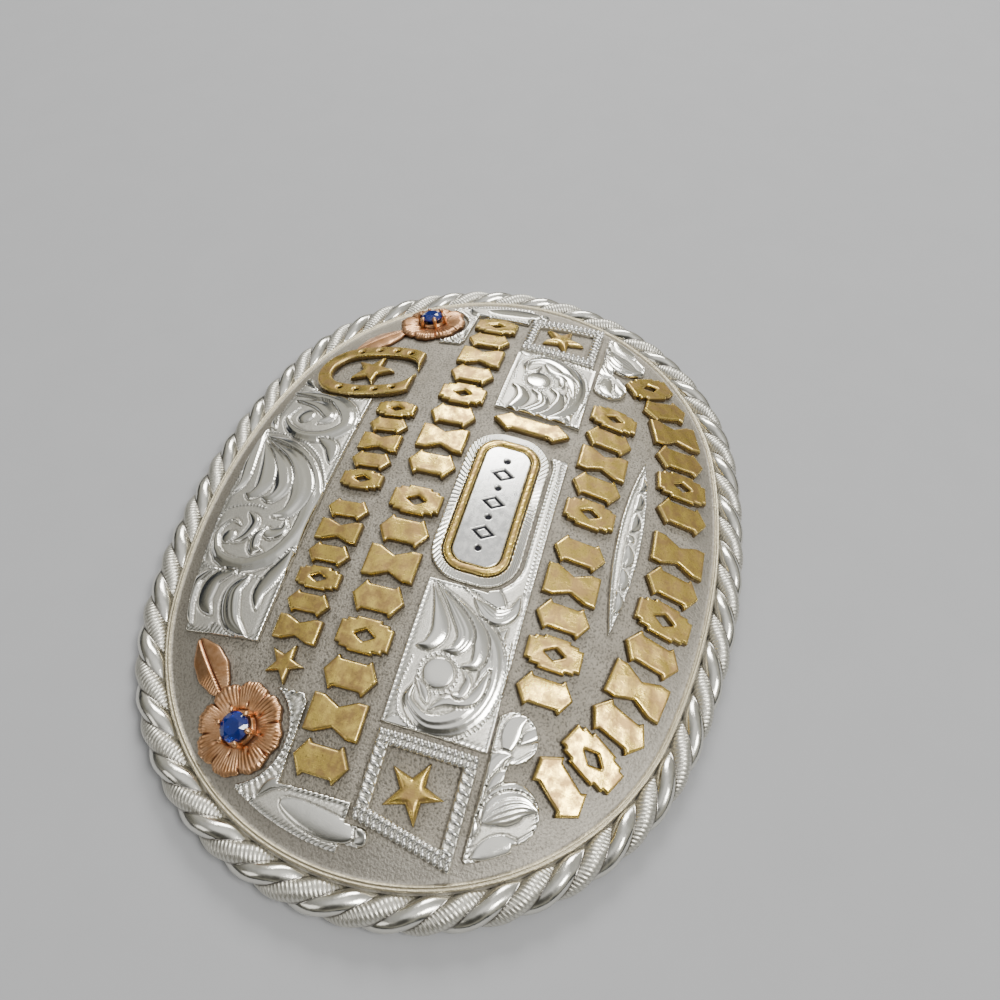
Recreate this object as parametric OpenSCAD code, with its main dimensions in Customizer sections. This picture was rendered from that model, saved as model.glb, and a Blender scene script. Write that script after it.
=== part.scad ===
/* [Oval plate] */
// Length of the domed plate inside the rope rim
plate_len = 90.6; // [80:0.2:110]
// Width of the domed plate inside the rope rim
plate_wid = 67.8; // [60:0.2:80]
// Radius of each end arc, as a share of half the width
end_round_share = 0.955; // [0.8:0.005:0.975]
// Thickness of the plate
plate_t = 1.3; // [1:0.1:2]
// Radius that the plate is domed to along its length
dome_r_len = 133; // [115:1:200]
// Radius that the plate is domed to across its width
dome_r_wid = 79.4; // [72:0.2:110]
// Width of the thin raised ridge at the plate's edge
ridge_w = 0.6; // [0.4:0.1:1.2]
// Height of that ridge
ridge_h = 0.4; // [0.2:0.1:0.8]

/* [Rope rim] */
// Outer diameter of the twisted rope
rope_d = 3.7; // [3:0.1:5]
// Strands that cross the rope's top on its way round
rope_mark_count = 68; // [52:4:84]
// Depth of the grooves between strands, as a share of the rope's radius
groove_share = 0.2; // [0.1:0.02:0.3]

/* [Silver overlays] */
// Clearance between each applied piece and the plate
seat_gap = 0.1; // [0.08:0.01:0.2]
// Clearance between neighbouring overlays
side_gap = 0.4; // [0.3:0.05:0.6]
// Thickness of the silver sheet
silver_t = 0.55; // [0.45:0.05:0.8]
// Height of the leaf lobes above the sheet
leaf_h = 0.4; // [0.2:0.05:0.6]
// Bare rim of plate outside the corner leaves
leaf_inset = 2.2; // [1.8:0.1:3.2]
// Bare rim of plate outside the bottom field
bottom_inset = 2.8; // [2.2:0.1:4.2]
// Width of the fan above each flower
fan_w = 2.1; // [1.4:0.1:2.6]
// Width of the tooled border round the plaque
border_w = 1.4; // [1:0.1:1.7]
// Width of the tooled frames at both ends
frame_w = 1.5; // [1:0.1:2]

/* [Brass ornaments] */
// Thickness of the brass
brass_t = 0.8; // [0.6:0.1:1.5]
// Height of the arched row
arch_h = 7.6; // [6:0.2:7.8]
// Distance from the plate's edge to the arched row
arch_inset = 2; // [1.6:0.1:2.6]
// Width of an ornament, as a share of its place in the row
ornament_fill = 0.92; // [0.7:0.02:0.94]
// Wider space between two groups of ornaments in a row
row_space = 1.5; // [0.8:0.1:2.2]

/* [Plaque] */
// Length of the plaque with its rim
plaque_len = 20.4; // [18:0.2:21.4]
// Width of the plaque with its rim
plaque_wid = 8.2; // [7:0.1:8.6]
// Width of the brass rim
plaque_rim_w = 1; // [0.6:0.1:1.4]
// Radius of the plaque's corners
plaque_corner_r = 3; // [2:0.1:3.4]
// Depth of the engraved marks
mark_depth = 0.2; // [0.1:0.05:0.3]

/* [Flowers] */
// Diameter over the petals
flower_d = 10.4; // [9:0.1:11.4]
// Number of petals
petals = 8; // [6:1:9]
// Thickness of the petals
petal_t = 0.9; // [0.7:0.05:1.2]
// Length of the leaf beside each flower
leaf_len = 8.8; // [7:0.1:9.4]
// Diameter of the stone
stone_d = 3.4; // [3:0.1:4.2]
// Number of prongs that hold the stone
prongs = 6; // [4:1:8]
// Diameter of a prong
prong_d = 0.6; // [0.5:0.05:0.8]

/* [Back] */
// Distance from the middle to the belt loop's bar
loop_x = 20; // [18:0.5:24]
// Distance between the middles of the loop's legs
loop_w = 41; // [36:0.5:44]
// Diameter of the loop's wire
loop_d = 2; // [1.8:0.1:2.4]
// Distance from the middle to the hook
hook_x = 24; // [20:0.5:30]
// Diameter of the hook's post
hook_d = 3.6; // [3:0.1:4.4]
// Height of the loop and the hook above the ground
ground_gap = 0.3; // [0.2:0.05:0.6]

/* [Hidden] */
$fn = 64;

half_len = plate_len / 2;
half_wid = plate_wid / 2;
rope_r = rope_d / 2;
// The oval has two end arcs and two side arcs that meet without a corner
end_r = end_round_share * half_wid;
end_c = half_len - end_r;
side_c = oval_side_c(half_len, half_wid, end_r);
side_r = side_c + half_wid;
meet_a = atan2(side_c, end_c);
// The dome is the outside of a barrel that lies along the buckle's width
barrel_r = dome_r_len - dome_r_wid;
function barrel(y) = barrel_r + sqrt(pow(dome_r_wid, 2) - pow(y, 2));
function drop(x, y) = dome_r_len - sqrt(pow(barrel(y), 2) - pow(x, 2));
// The rope's middle is level with the middle of the plate's thickness at both ends
rope_out = rope_r + seat_gap;
crown_z = rope_r + plate_t / 2 + drop(half_len + rope_out, 0);
function dome_z(x, y) = crown_z - drop(x, y);

// Clear height of a piece above the plate, and its top
sheet_top = seat_gap + silver_t;
sink = 0.2;

// Places on the face: shares of half the length and half the width, and towards the ends
// shares of the end arc's radius, measured from its centre
function fx(share) = share * half_len;
function fy(share) = share * half_wid;
function ex(share) = end_c + share * end_r;
plaque_x = fx(0.015);
spear_w = fy(0.1);
spear_x = plaque_x - plaque_len / 2 - border_w - 2 * side_gap - spear_w / 2;
flower_x = ex(0.653);
flower_y = fy(-0.452);
leaf_angle = 228;
leaf_tip_reach = flower_d / 2 + 0.88 * leaf_len;

SILVER = [0.80, 0.79, 0.74];
GROUND = [0.62, 0.60, 0.56];
BRASS = [0.72, 0.55, 0.24];
COPPER = [0.72, 0.42, 0.29];
STONE = [0.06, 0.12, 0.62];
STEEL = [0.55, 0.55, 0.55];

// Oval of four arcs that meet without a corner, lying along x
function oval_side_c(half_l, half_w, r) = (pow(half_l - r, 2) - pow(half_w - r, 2)) / (2 * (half_w - r));
module arc_oval(half_l, half_w, r, grow = 0) {
    c = oval_side_c(half_l, half_w, r);
    meet_x = half_l - r + (r + grow) * cos(atan2(c, half_l - r));
    intersection() {
        translate([0, -c]) circle(c + half_w + grow, $fn = 360);
        translate([0, c]) circle(c + half_w + grow, $fn = 360);
        square([2 * meet_x, 3 * half_w + 2 * grow], center = true);
    }
    for (side = [-1, 1])
        translate([side * (half_l - r), 0]) circle(r + grow, $fn = 180);
}

// Oval of the plate, grown outwards
module oval(grow = 0) {
    arc_oval(half_len, half_wid, end_r, grow);
}

// Part of the domed shell between two heights above the plate's face
module dome_slab(low, high) {
    slab_half = half_wid + rope_d;
    translate([0, 0, crown_z - dome_r_len])
        rotate([90, 0, 0])
            rotate([0, 0, 60])
                rotate_extrude(angle = 60, $fn = 720)
                    intersection() {
                        translate([barrel_r, 0]) difference() {
                            circle(dome_r_wid + high, $fn = 720);
                            circle(dome_r_wid + low, $fn = 720);
                        }
                        translate([dome_r_len * 0.8, -slab_half]) square([dome_r_len * 0.3, 2 * slab_half]);
                    }
}

// A sheet with the outline of its children, bent to the dome
module sheet(low, high) {
    intersection() {
        dome_slab(low, high);
        linear_extrude(crown_z + 2) children();
    }
}

// Children stand on the dome at a place on the face, square to it
module on_dome(x, y, turn = 0) {
    translate([0, 0, crown_z - dome_r_len])
        rotate([0, asin(x / barrel(y)), 0])
            translate([0, 0, barrel_r])
                rotate([-asin(y / dome_r_wid), 0, 0])
                    translate([0, 0, dome_r_wid])
                        rotate([0, 0, turn])
                            children();
}

module base_plate() {
    color(GROUND) union() {
        sheet(-plate_t, 0) oval();
        sheet(-plate_t, ridge_h) difference() {
            oval();
            oval(-ridge_w);
        }
    }
}

// Rope rim: rings of points round the oval, turned a little from each to the next
ROPE_SIDES = 12;
STRANDS = 3;
end_arc = meet_a * PI / 180 * (end_r + rope_out);
side_arc = (180 - 2 * meet_a) * PI / 180 * (side_r + rope_out);
rope_len = 4 * end_arc + 2 * side_arc;
rope_rings = rope_mark_count * ROPE_SIDES / STRANDS;
function arc_place(c, r, a) = [c[0] + r * cos(a), c[1] + r * sin(a), a];
function quarter_place(s) = s < end_arc
    ? arc_place([end_c, 0], end_r + rope_out, s / (end_r + rope_out) * 180 / PI)
    : arc_place([0, -side_c], side_r + rope_out, meet_a + (s - end_arc) / (side_r + rope_out) * 180 / PI);
// Place and outward direction at a length s along the rope's middle line
function rope_place(s) =
    let (quarter = rope_len / 4, half = rope_len / 2, in_half = s % half)
    let (q = in_half > quarter ? half - in_half : in_half, p = quarter_place(q))
    let (m = in_half > quarter ? [-p[0], p[1], 180 - p[2]] : p)
    s >= half ? [-m[0], -m[1], m[2] + 180] : m;
function strand_r(j) = j % (ROPE_SIDES / STRANDS) == 0 ? rope_r * (1 - groove_share) : rope_r;
function rope_point(k, j) =
    let (p = rope_place(k * rope_len / rope_rings), a = (j + k) * 360 / ROPE_SIDES)
    [p[0] + strand_r(j) * cos(a) * cos(p[2]), p[1] + strand_r(j) * cos(a) * sin(p[2]),
        rope_r + strand_r(j) * sin(a)];
// The last ring is joined to the first with the turn that the strands have made by then
function rope_index(k, j) = k < rope_rings ? k * ROPE_SIDES + j % ROPE_SIDES : (j + rope_rings) % ROPE_SIDES;

module rope_edge() {
    points = [for (k = [0:rope_rings - 1], j = [0:ROPE_SIDES - 1]) rope_point(k, j)];
    lower = [for (k = [0:rope_rings - 1], j = [0:ROPE_SIDES - 1])
        [rope_index(k, j), rope_index(k, j + 1), rope_index(k + 1, j + 1)]];
    upper = [for (k = [0:rope_rings - 1], j = [0:ROPE_SIDES - 1])
        [rope_index(k, j), rope_index(k + 1, j + 1), rope_index(k + 1, j)]];
    color(SILVER) polyhedron(points, concat(lower, upper));
}

// Outlines of the brass ornaments: right halves, as shares of width and height
STEP_SHARES = [[0, 0.5], [0.33, 0.5], [0.33, 0.4], [0.42, 0.4], [0.42, 0.24], [0.5, 0.24],
    [0.5, -0.24], [0.42, -0.24], [0.42, -0.4], [0.33, -0.4], [0.33, -0.5], [0, -0.5]];
SPEAR_SHARES = [[0, 0.5], [0.5, 0.3], [0.38, 0.24], [0.38, -0.24], [0.5, -0.3], [0, -0.5]];
WAIST_SHARES = [[0.5, 0.5], [0.5, 0.3], [0.28, 0], [0.5, -0.3], [0.5, -0.5]];
LOZENGE_SHARES = [[0, 0.5], [0.5, 0], [0, -0.5]];
function other_half(p) = [for (i = [len(p) - 1:-1:0]) if (p[i][0] > 0) [-p[i][0], p[i][1]]];
function whole(p, w, h) = [for (q = concat(p, other_half(p))) [q[0] * w, q[1] * h]];

module star(tips, r) {
    polygon([for (i = [0:2 * tips - 1])
        (i % 2 == 0 ? r : 0.42 * r) * [sin(i * 180 / tips), cos(i * 180 / tips)]]);
}

// The ornaments of a row take turns: stepped diamond, spear, waisted block, spear
module ornament(i, w, h) {
    linear_extrude(brass_t)
        if (i % 4 == 0) difference() {
            polygon(whole(STEP_SHARES, w, h));
            polygon(whole(LOZENGE_SHARES, 0.34 * w, 0.36 * h));
        }
        else if (i % 4 == 2) polygon(whole(WAIST_SHARES, w, h));
        else polygon(whole(SPEAR_SHARES, w, h));
}

// A straight row between two heights and two ends, with a wider space after some ornaments
module straight_row(low, high, left, right, count, space_after) {
    pitch = (right - left - row_space) / count;
    color(BRASS) for (i = [0:count - 1])
        on_dome(left + (i + 0.5) * pitch + (i < space_after ? 0 : row_space), fy((low + high) / 2))
            translate([0, 0, seat_gap]) ornament(i, ornament_fill * pitch, fy(high - low));
}

// The arched row follows the oval: its places are measured along its middle line
ARCH_COUNT = 14;
ARCH_SPACE_AFTER = 6;
// Angle on each end arc, from the buckle's length, at which the arched row ends
ARCH_END_ANGLE = 43.6;
arch_line = -arch_inset - arch_h / 2;
arch_side = (90 - meet_a) * PI / 180 * (side_r + arch_line);
arch_half = arch_side + (meet_a - ARCH_END_ANGLE) * PI / 180 * (end_r + arch_line);
function arch_place(s) = abs(s) < arch_side
    ? arc_place([0, -side_c], side_r + arch_line, 90 - s / (side_r + arch_line) * 180 / PI)
    : arc_place([sign(s) * end_c, 0], end_r + arch_line,
        90 - sign(s) * (90 - meet_a + (abs(s) - arch_side) / (end_r + arch_line) * 180 / PI));

module top_row() {
    pitch = (2 * arch_half - row_space) / ARCH_COUNT;
    color(BRASS) for (i = [0:ARCH_COUNT - 1]) {
        p = arch_place((i + 0.5) * pitch + (i < ARCH_SPACE_AFTER ? 0 : row_space) - arch_half);
        on_dome(p[0], p[1], p[2] - 90)
            translate([0, 0, seat_gap]) ornament(i, ornament_fill * pitch, arch_h);
    }
}

module middle_row() { straight_row(0.372, 0.572, -ex(0.289), ex(0.34), 10, 5); }

module lower_row() { straight_row(-0.248, -0.056, -ex(0.757), ex(0.759), 16, 8); }

// Smaller ornaments, then a star
module small_row() {
    straight_row(-0.468, -0.302, shoe_x + shoe_half_w + side_gap, ex(0.342), 11, 5);
    color(BRASS) on_dome(ex(0.415), fy(-0.385))
        translate([0, 0, seat_gap]) linear_extrude(brass_t) star(5, fy(0.073));
}

// Horseshoe with its toe down, nail holes along both branches, and a star inside
shoe_half_w = fy(0.178);
shoe_half_h = fy(0.262);
shoe_x = leaf_tip_reach * cos(leaf_angle - 180) - flower_x + 0.88 * shoe_half_w + side_gap;
shoe_y = fy(-0.575);
module shoe_oval(grow) {
    rotate(90) arc_oval(shoe_half_h, shoe_half_w, 0.93 * shoe_half_w, grow);
}

module horseshoe() {
    web = 0.36 * shoe_half_w;
    heel_y = 0.76 * shoe_half_h;
    nail_r = 0.4;
    color(BRASS) {
        on_dome(shoe_x, shoe_y) translate([0, 0, seat_gap]) linear_extrude(brass_t) difference() {
            shoe_oval(0);
            shoe_oval(-web);
            translate([-shoe_half_w, heel_y]) square([2 * shoe_half_w, shoe_half_h]);
            for (side = [-1, 1], share = [-0.42, -0.1, 0.22, 0.5])
                translate([side * (shoe_half_w - web / 2) * sqrt(1 - share * share), share * shoe_half_h])
                    circle(nail_r, $fn = 24);
        }
        on_dome(shoe_x, shoe_y - 0.04 * shoe_half_h)
            translate([0, 0, seat_gap]) linear_extrude(brass_t) star(5, 0.9 * (shoe_half_w - web));
    }
}

// One lobe of a leaf: it starts round, bends a little and ends in a point
LOBE_STEPS = 6;
function lobe_half_w(t) = sin(180 * pow(t, 0.62));
function lobe_line(t) = 0.16 * sin(90 * t);
function lobe_point(l, w, i, edge) =
    let (t = i / LOBE_STEPS) [l * t, l * lobe_line(t) + edge * w / 2 * lobe_half_w(t)];
function lobe(l, w) = concat(
    [for (i = [0:LOBE_STEPS]) lobe_point(l, w, i, 1)],
    [for (i = [LOBE_STEPS - 1:-1:1]) lobe_point(l, w, i, -1)]);

// A scroll: lobes that shrink round a bead; each row is centre x (mm), centre y, radius, first angle, hand
module scroll(row) {
    r = fy(row[2]);
    hand = row[4];
    on_dome(row[0], fy(row[1]))
        translate([0, 0, sheet_top - sink]) cylinder(r = 0.26 * r, h = sink + leaf_h);
    for (i = [0:4]) {
        a = row[3] + hand * i * 62;
        size = r * (1 - 0.09 * i);
        on_dome(row[0] + 0.42 * size * cos(a), fy(row[1]) + 0.42 * size * sin(a), a + hand * 50)
            translate([0, 0, sheet_top - sink])
                linear_extrude(sink + leaf_h)
                    mirror([0, hand < 0 ? 1 : 0]) polygon(lobe(0.95 * size, 0.46 * size));
    }
}

module plaque_outline(grow) {
    l = plaque_len + 2 * grow;
    w = plaque_wid + 2 * grow;
    r = plaque_corner_r + grow;
    translate([plaque_x, fy(0.12)]) {
        square([l - 2 * r, w], center = true);
        square([l, w - 2 * r], center = true);
        for (sx = [-1, 1], sy = [-1, 1])
            translate([sx * (l / 2 - r), sy * (w / 2 - r)]) circle(r);
    }
}

module flower_outline(side, grow) {
    translate([side * flower_x, flower_y]) circle(flower_d / 2 + grow);
}

module shoe_outline(grow) {
    translate([shoe_x, shoe_y]) shoe_oval(grow);
}

module face_box(left, right, low, high) {
    translate([left, fy(low)]) square([right - left, fy(high - low)]);
}

// Narrow strip between the arched row and the middle row: a lens of two arcs
module silver_strip() {
    strip_len = fx(0.6);
    strip_h = fy(0.094);
    lens_r = (pow(strip_len, 2) / 4 + pow(strip_h, 2) / 4) / strip_h;
    color(SILVER) union() {
        sheet(seat_gap, sheet_top)
            translate([fx(-0.02), fy(0.638)]) intersection() {
                translate([0, lens_r - strip_h / 2]) circle(lens_r, $fn = 360);
                translate([0, strip_h / 2 - lens_r]) circle(lens_r, $fn = 360);
            }
        for (i = [-2:2])
            on_dome(fx(-0.02) + i * fx(0.075), fy(0.638), i < 0 ? 180 : 0)
                translate([0, 0, sheet_top - sink])
                    linear_extrude(sink + leaf_h) polygon(lobe(fx(0.062), fy(0.03)));
    }
}

// Leaves in an upper corner: lobes clipped by the plate's oval
UPPER_LEAVES = [[0.444, 0.415, 0.08], [0.666, 0.465, 0.089], [0.776, 0.41, 0.083]];
UPPER_SCROLLS = [[0.462, 0.426, 0.066, 200, 1], [0.666, 0.456, 0.084, 230, 1]];
module upper_scroll(side) {
    color(SILVER) union() {
        sheet(seat_gap, sheet_top) mirror([side < 0 ? 1 : 0, 0]) intersection() {
            oval(-leaf_inset);
            union() {
                for (leaf = UPPER_LEAVES)
                    translate([ex(leaf[0]), fy(leaf[1])]) circle(fy(leaf[2]));
                face_box(ex(0.405), ex(0.804), 0.354, 0.42);
            }
            face_box(ex(0.3), ex(1), 0.354, 0.7);
        }
        for (row = UPPER_SCROLLS)
            scroll([side * ex(row[0]), row[1], row[2], side > 0 ? row[3] : 180 - row[3], side * row[4]]);
    }
}

module upper_scroll_left() { upper_scroll(-1); }

module upper_scroll_right() { upper_scroll(1); }

// Scroll fields beside the plaque; the right one runs on above the plaque
module centre_scroll_left() {
    color(SILVER) union() {
        sheet(seat_gap, sheet_top) face_box(-ex(0.521), spear_x - spear_w / 2 - 2 * side_gap, -0.01, 0.346);
        scroll([spear_x - spear_w / 2 - 2 * side_gap - fy(0.132), 0.17, 0.136, 20, -1]);
        scroll([fy(0.097) - ex(0.521), 0.2, 0.106, 100, 1]);
    }
}

module centre_scroll_right() {
    color(SILVER) union() {
        sheet(seat_gap, sheet_top) difference() {
            union() {
                face_box(plaque_x + plaque_len / 2, ex(0.521), -0.01, 0.346);
                face_box(plaque_x - 0.48 * plaque_len, ex(0.4), 0.2, 0.346);
            }
            plaque_outline(border_w + side_gap);
        }
        scroll([plaque_x + plaque_len / 2 + border_w + side_gap + fy(0.187), 0.16, 0.136, 160, 1]);
        scroll([ex(0.521) - fy(0.118), 0.19, 0.106, 80, -1]);
    }
}

// Small silver piece from the end frame down to the flower's top
module side_scroll(side) {
    color(SILVER) union() {
        sheet(seat_gap, sheet_top) mirror([side < 0 ? 1 : 0, 0]) intersection() {
            oval(-leaf_inset);
            union() {
                face_box(ex(0.779), ex(1), -0.335, -0.02);
                face_box(ex(0.87) - fy(0.029), ex(0.87) + fy(0.029), -0.1, 0.035);
                translate([ex(0.87), fy(0.035)]) circle(fy(0.029));
                difference() {
                    translate([flower_x, flower_y]) circle(flower_d / 2 + side_gap + fan_w);
                    flower_outline(1, side_gap);
                    face_box(0, ex(1), -1, -0.4);
                    face_box(0, ex(1), -0.262, 0);
                    face_box(0, ex(0.496), -1, 0);
                }
            }
        }
        on_dome(side * ex(0.87), fy(-0.08), 90)
            translate([0, 0, sheet_top - sink])
                linear_extrude(sink + leaf_h) square([fy(0.2), fy(0.035)], center = true);
    }
}

module side_scroll_left() { side_scroll(-1); }

module side_scroll_right() { side_scroll(1); }

// Long field along the bottom, cut back from the horseshoe
BOTTOM_SCROLLS = [[0, -0.7, 0.13, 150, 1], [0.34, -0.7, 0.16, 30, -1], [0.7, -0.7, 0.155, 160, 1],
    [1, -0.63, 0.12, 60, -1]];
module bottom_scroll() {
    bottom_left = shoe_x + 0.38 * shoe_half_w;
    bottom_right = ex(0.36);
    first_x = bottom_left + fy(0.28);
    last_x = bottom_right - fy(0.17);
    color(SILVER) union() {
        sheet(seat_gap, sheet_top) difference() {
            intersection() {
                oval(-bottom_inset);
                face_box(bottom_left, bottom_right, -1, -0.512);
            }
            shoe_outline(side_gap);
        }
        for (row = BOTTOM_SCROLLS)
            scroll([first_x + row[0] * (last_x - first_x), row[1], row[2], row[3], row[4]]);
    }
}

// Tooled frame at an end, its outer side slanting in towards the bottom: a flat band with two raised rails
frame_slant = fy(0.067);
module frame_outline(side, grow) {
    half_w = fy(0.167) + grow;
    half_h = fy(0.167) + grow;
    lean = frame_slant * grow / fy(0.334);
    translate([side * ex(0.713), fy(0.161)]) mirror([side < 0 ? 1 : 0, 0])
        polygon([[-half_w, -half_h], [half_w - frame_slant - lean, -half_h],
            [half_w + lean, half_h], [-half_w, half_h]]);
}

module end_frame(side) {
    rail_w = frame_w / 3;
    color(SILVER) union() {
        sheet(seat_gap, sheet_top) difference() {
            frame_outline(side, 0);
            frame_outline(side, -frame_w);
        }
        sheet(seat_gap, sheet_top + leaf_h / 2) difference() {
            frame_outline(side, 0);
            frame_outline(side, -rail_w);
        }
        sheet(seat_gap, sheet_top + leaf_h / 2) difference() {
            frame_outline(side, rail_w - frame_w);
            frame_outline(side, -frame_w);
        }
    }
}

module end_frame_left() { end_frame(-1); }

module end_frame_right() { end_frame(1); }

module end_star(side) {
    color(BRASS) on_dome(side * (ex(0.713) - fy(0.013)), fy(0.155))
        translate([0, 0, seat_gap]) linear_extrude(brass_t) star(5, fy(0.104));
}

module end_star_left() { end_star(-1); }

module end_star_right() { end_star(1); }

module plaque_border() {
    color(SILVER) sheet(seat_gap, sheet_top) difference() {
        plaque_outline(border_w);
        plaque_outline(seat_gap);
    }
}

module plaque_rim() {
    color(BRASS) sheet(seat_gap, seat_gap + brass_t) difference() {
        plaque_outline(0);
        plaque_outline(-plaque_rim_w);
    }
}

// Silver plaque with a row of engraved lozenges and dots
module plaque() {
    plaque_top = seat_gap + 0.7 * brass_t;
    mark_w = 0.25 * plaque_wid;
    color(SILVER) difference() {
        sheet(seat_gap, plaque_top) plaque_outline(-plaque_rim_w - seat_gap);
        for (i = [-3:3])
            on_dome(plaque_x + i * plaque_len / 9, fy(0.12))
                translate([0, 0, plaque_top - mark_depth]) linear_extrude(1)
                    if (i % 2 == 0) difference() {
                        polygon(whole(LOZENGE_SHARES, mark_w, 1.5 * mark_w));
                        polygon(whole(LOZENGE_SHARES, 0.6 * mark_w, 0.9 * mark_w));
                    }
                    else circle(0.2 * mark_w, $fn = 24);
    }
}

// Brass spear between the plaque and the left scroll field
module side_ornament() {
    color(BRASS) on_dome(spear_x, fy(0.165))
        translate([0, 0, seat_gap]) linear_extrude(brass_t) polygon(whole(SPEAR_SHARES, spear_w, fy(0.32)));
}

// Flower: petals round a collar with prongs, and a leaf towards the bottom's middle
stone_r = stone_d / 2;
collar_h = 0.3;
girdle_z = petal_t + 2 * collar_h;
girdle_h = 0.2;
crown_h = 0.3 * stone_r;
module flower(side) {
    petal_r = flower_d * 0.17;
    prong_r = stone_r + seat_gap + prong_d / 2;
    tip_r = prong_d * 0.58;
    leaf_mid = leaf_tip_reach - leaf_len / 2;
    leaf_wid = 0.46 * leaf_len;
    lens_r = (pow(leaf_len, 2) + pow(leaf_wid, 2)) / (4 * leaf_wid);
    a = side > 0 ? leaf_angle : 180 - leaf_angle;
    color(COPPER) union() {
        on_dome(side * flower_x, flower_y) translate([0, 0, seat_gap]) difference() {
            union() {
                cylinder(r = flower_d / 2 - petal_r, h = petal_t);
                for (i = [0:petals - 1])
                    rotate(i * 360 / petals) translate([flower_d / 2 - petal_r, 0])
                        cylinder(r = petal_r, h = petal_t);
                cylinder(r = stone_r + prong_d, h = petal_t + collar_h);
                for (i = [0:prongs - 1])
                    rotate((i + 0.5) * 360 / prongs) {
                        translate([prong_r, 0])
                            cylinder(d = prong_d, h = girdle_z + girdle_h + tip_r, $fn = 24);
                        translate([prong_r - prong_d / 3, 0, girdle_z + girdle_h + 1.3 * tip_r])
                            sphere(tip_r, $fn = 24);
                    }
            }
            translate([0, 0, -1]) cylinder(r = stone_r * 0.8, h = 3);
        }
        on_dome(side * flower_x + leaf_mid * cos(a), flower_y + leaf_mid * sin(a), a)
            translate([0, 0, seat_gap]) linear_extrude(petal_t * 0.9) intersection() {
                translate([0, lens_r - leaf_wid / 2]) circle(lens_r);
                translate([0, leaf_wid / 2 - lens_r]) circle(lens_r);
            }
    }
}

module flower_left() { flower(-1); }

module flower_right() { flower(1); }

// Round stone with ten facets above and below its girdle, and a flat table
module stone(side) {
    pavilion_h = 0.85 * girdle_z;
    color(STONE) on_dome(side * flower_x, flower_y) translate([0, 0, seat_gap]) union() {
        translate([0, 0, girdle_z - pavilion_h])
            cylinder(r1 = 0.2 * stone_r, r2 = stone_r, h = pavilion_h, $fn = 10);
        translate([0, 0, girdle_z]) cylinder(r = stone_r, h = girdle_h, $fn = 10);
        translate([0, 0, girdle_z + girdle_h])
            cylinder(r1 = stone_r, r2 = 0.58 * stone_r, h = crown_h, $fn = 10);
    }
}

module stone_left() { stone(-1); }

module stone_right() { stone(1); }

// Pad that follows the underside of the plate, and the height of a leg that ends inside it
pad_t = 0.9;
function leg_h(x, y, z) = dome_z(x, y) - plate_t - seat_gap - pad_t / 2 - z;
module back_pad(x, y, r) {
    sheet(-plate_t - seat_gap - pad_t, -plate_t - seat_gap) translate([x, y]) circle(r);
}

module belt_loop() {
    bar_z = ground_gap + loop_d / 2;
    color(STEEL) union() {
        translate([-loop_x, 0, bar_z]) rotate([90, 0, 0]) cylinder(d = loop_d, h = loop_w, center = true);
        for (side = [-1, 1]) {
            y = side * loop_w / 2;
            translate([-loop_x, y, bar_z]) sphere(d = loop_d);
            translate([-loop_x, y, bar_z])
                cylinder(d = loop_d, h = leg_h(loop_x, y, bar_z));
            back_pad(-loop_x, y, 1.3 * loop_d);
        }
    }
}

module hook() {
    tip_h = hook_d / 6;
    pad_r = 1.2 * hook_d;
    flare_h = 1.2;
    flare_z = dome_z(hook_x + pad_r, 0) - plate_t - seat_gap - 1.5 * pad_t;
    color(STEEL) union() {
        translate([hook_x, 0, ground_gap]) cylinder(d1 = hook_d * 0.7, d2 = hook_d, h = tip_h);
        translate([hook_x, 0, ground_gap + tip_h])
            cylinder(d = hook_d, h = leg_h(hook_x, 0, ground_gap + tip_h));
        translate([hook_x, 0, flare_z]) cylinder(r1 = hook_d / 2, r2 = hook_d / 2 + flare_h, h = flare_h);
        back_pad(hook_x, 0, pad_r);
    }
}

base_plate();
rope_edge();
top_row();
middle_row();
lower_row();
small_row();
horseshoe();
silver_strip();
upper_scroll_left();
upper_scroll_right();
centre_scroll_left();
centre_scroll_right();
side_scroll_left();
side_scroll_right();
bottom_scroll();
end_frame_left();
end_frame_right();
end_star_left();
end_star_right();
plaque_border();
plaque();
plaque_rim();
side_ornament();
flower_left();
flower_right();
stone_left();
stone_right();
belt_loop();
hook();
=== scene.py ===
import math

import bpy
import mathutils
import numpy as np
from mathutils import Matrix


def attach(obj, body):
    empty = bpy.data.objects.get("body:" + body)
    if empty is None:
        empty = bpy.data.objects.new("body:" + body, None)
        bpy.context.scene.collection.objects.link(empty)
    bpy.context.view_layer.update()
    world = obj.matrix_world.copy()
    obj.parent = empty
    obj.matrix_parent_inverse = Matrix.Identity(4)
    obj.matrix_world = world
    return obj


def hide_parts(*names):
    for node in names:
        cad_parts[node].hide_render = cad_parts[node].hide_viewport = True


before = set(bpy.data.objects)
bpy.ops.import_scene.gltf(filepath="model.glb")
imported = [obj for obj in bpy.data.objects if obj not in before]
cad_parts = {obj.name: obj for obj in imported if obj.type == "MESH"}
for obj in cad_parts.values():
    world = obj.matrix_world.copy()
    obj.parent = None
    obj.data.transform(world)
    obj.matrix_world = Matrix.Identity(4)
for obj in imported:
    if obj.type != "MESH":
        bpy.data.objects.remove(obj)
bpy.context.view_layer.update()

# ---------------------------------------------------------------- camera
# Held close above the buckle's right end, 55 degrees above the table,
# as a phone is held for a close picture.
def stand(name, data):
    """Puts data into the scene as a new object."""
    made = bpy.data.objects.new(name, data)
    bpy.context.scene.collection.objects.link(made)
    return made


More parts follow.
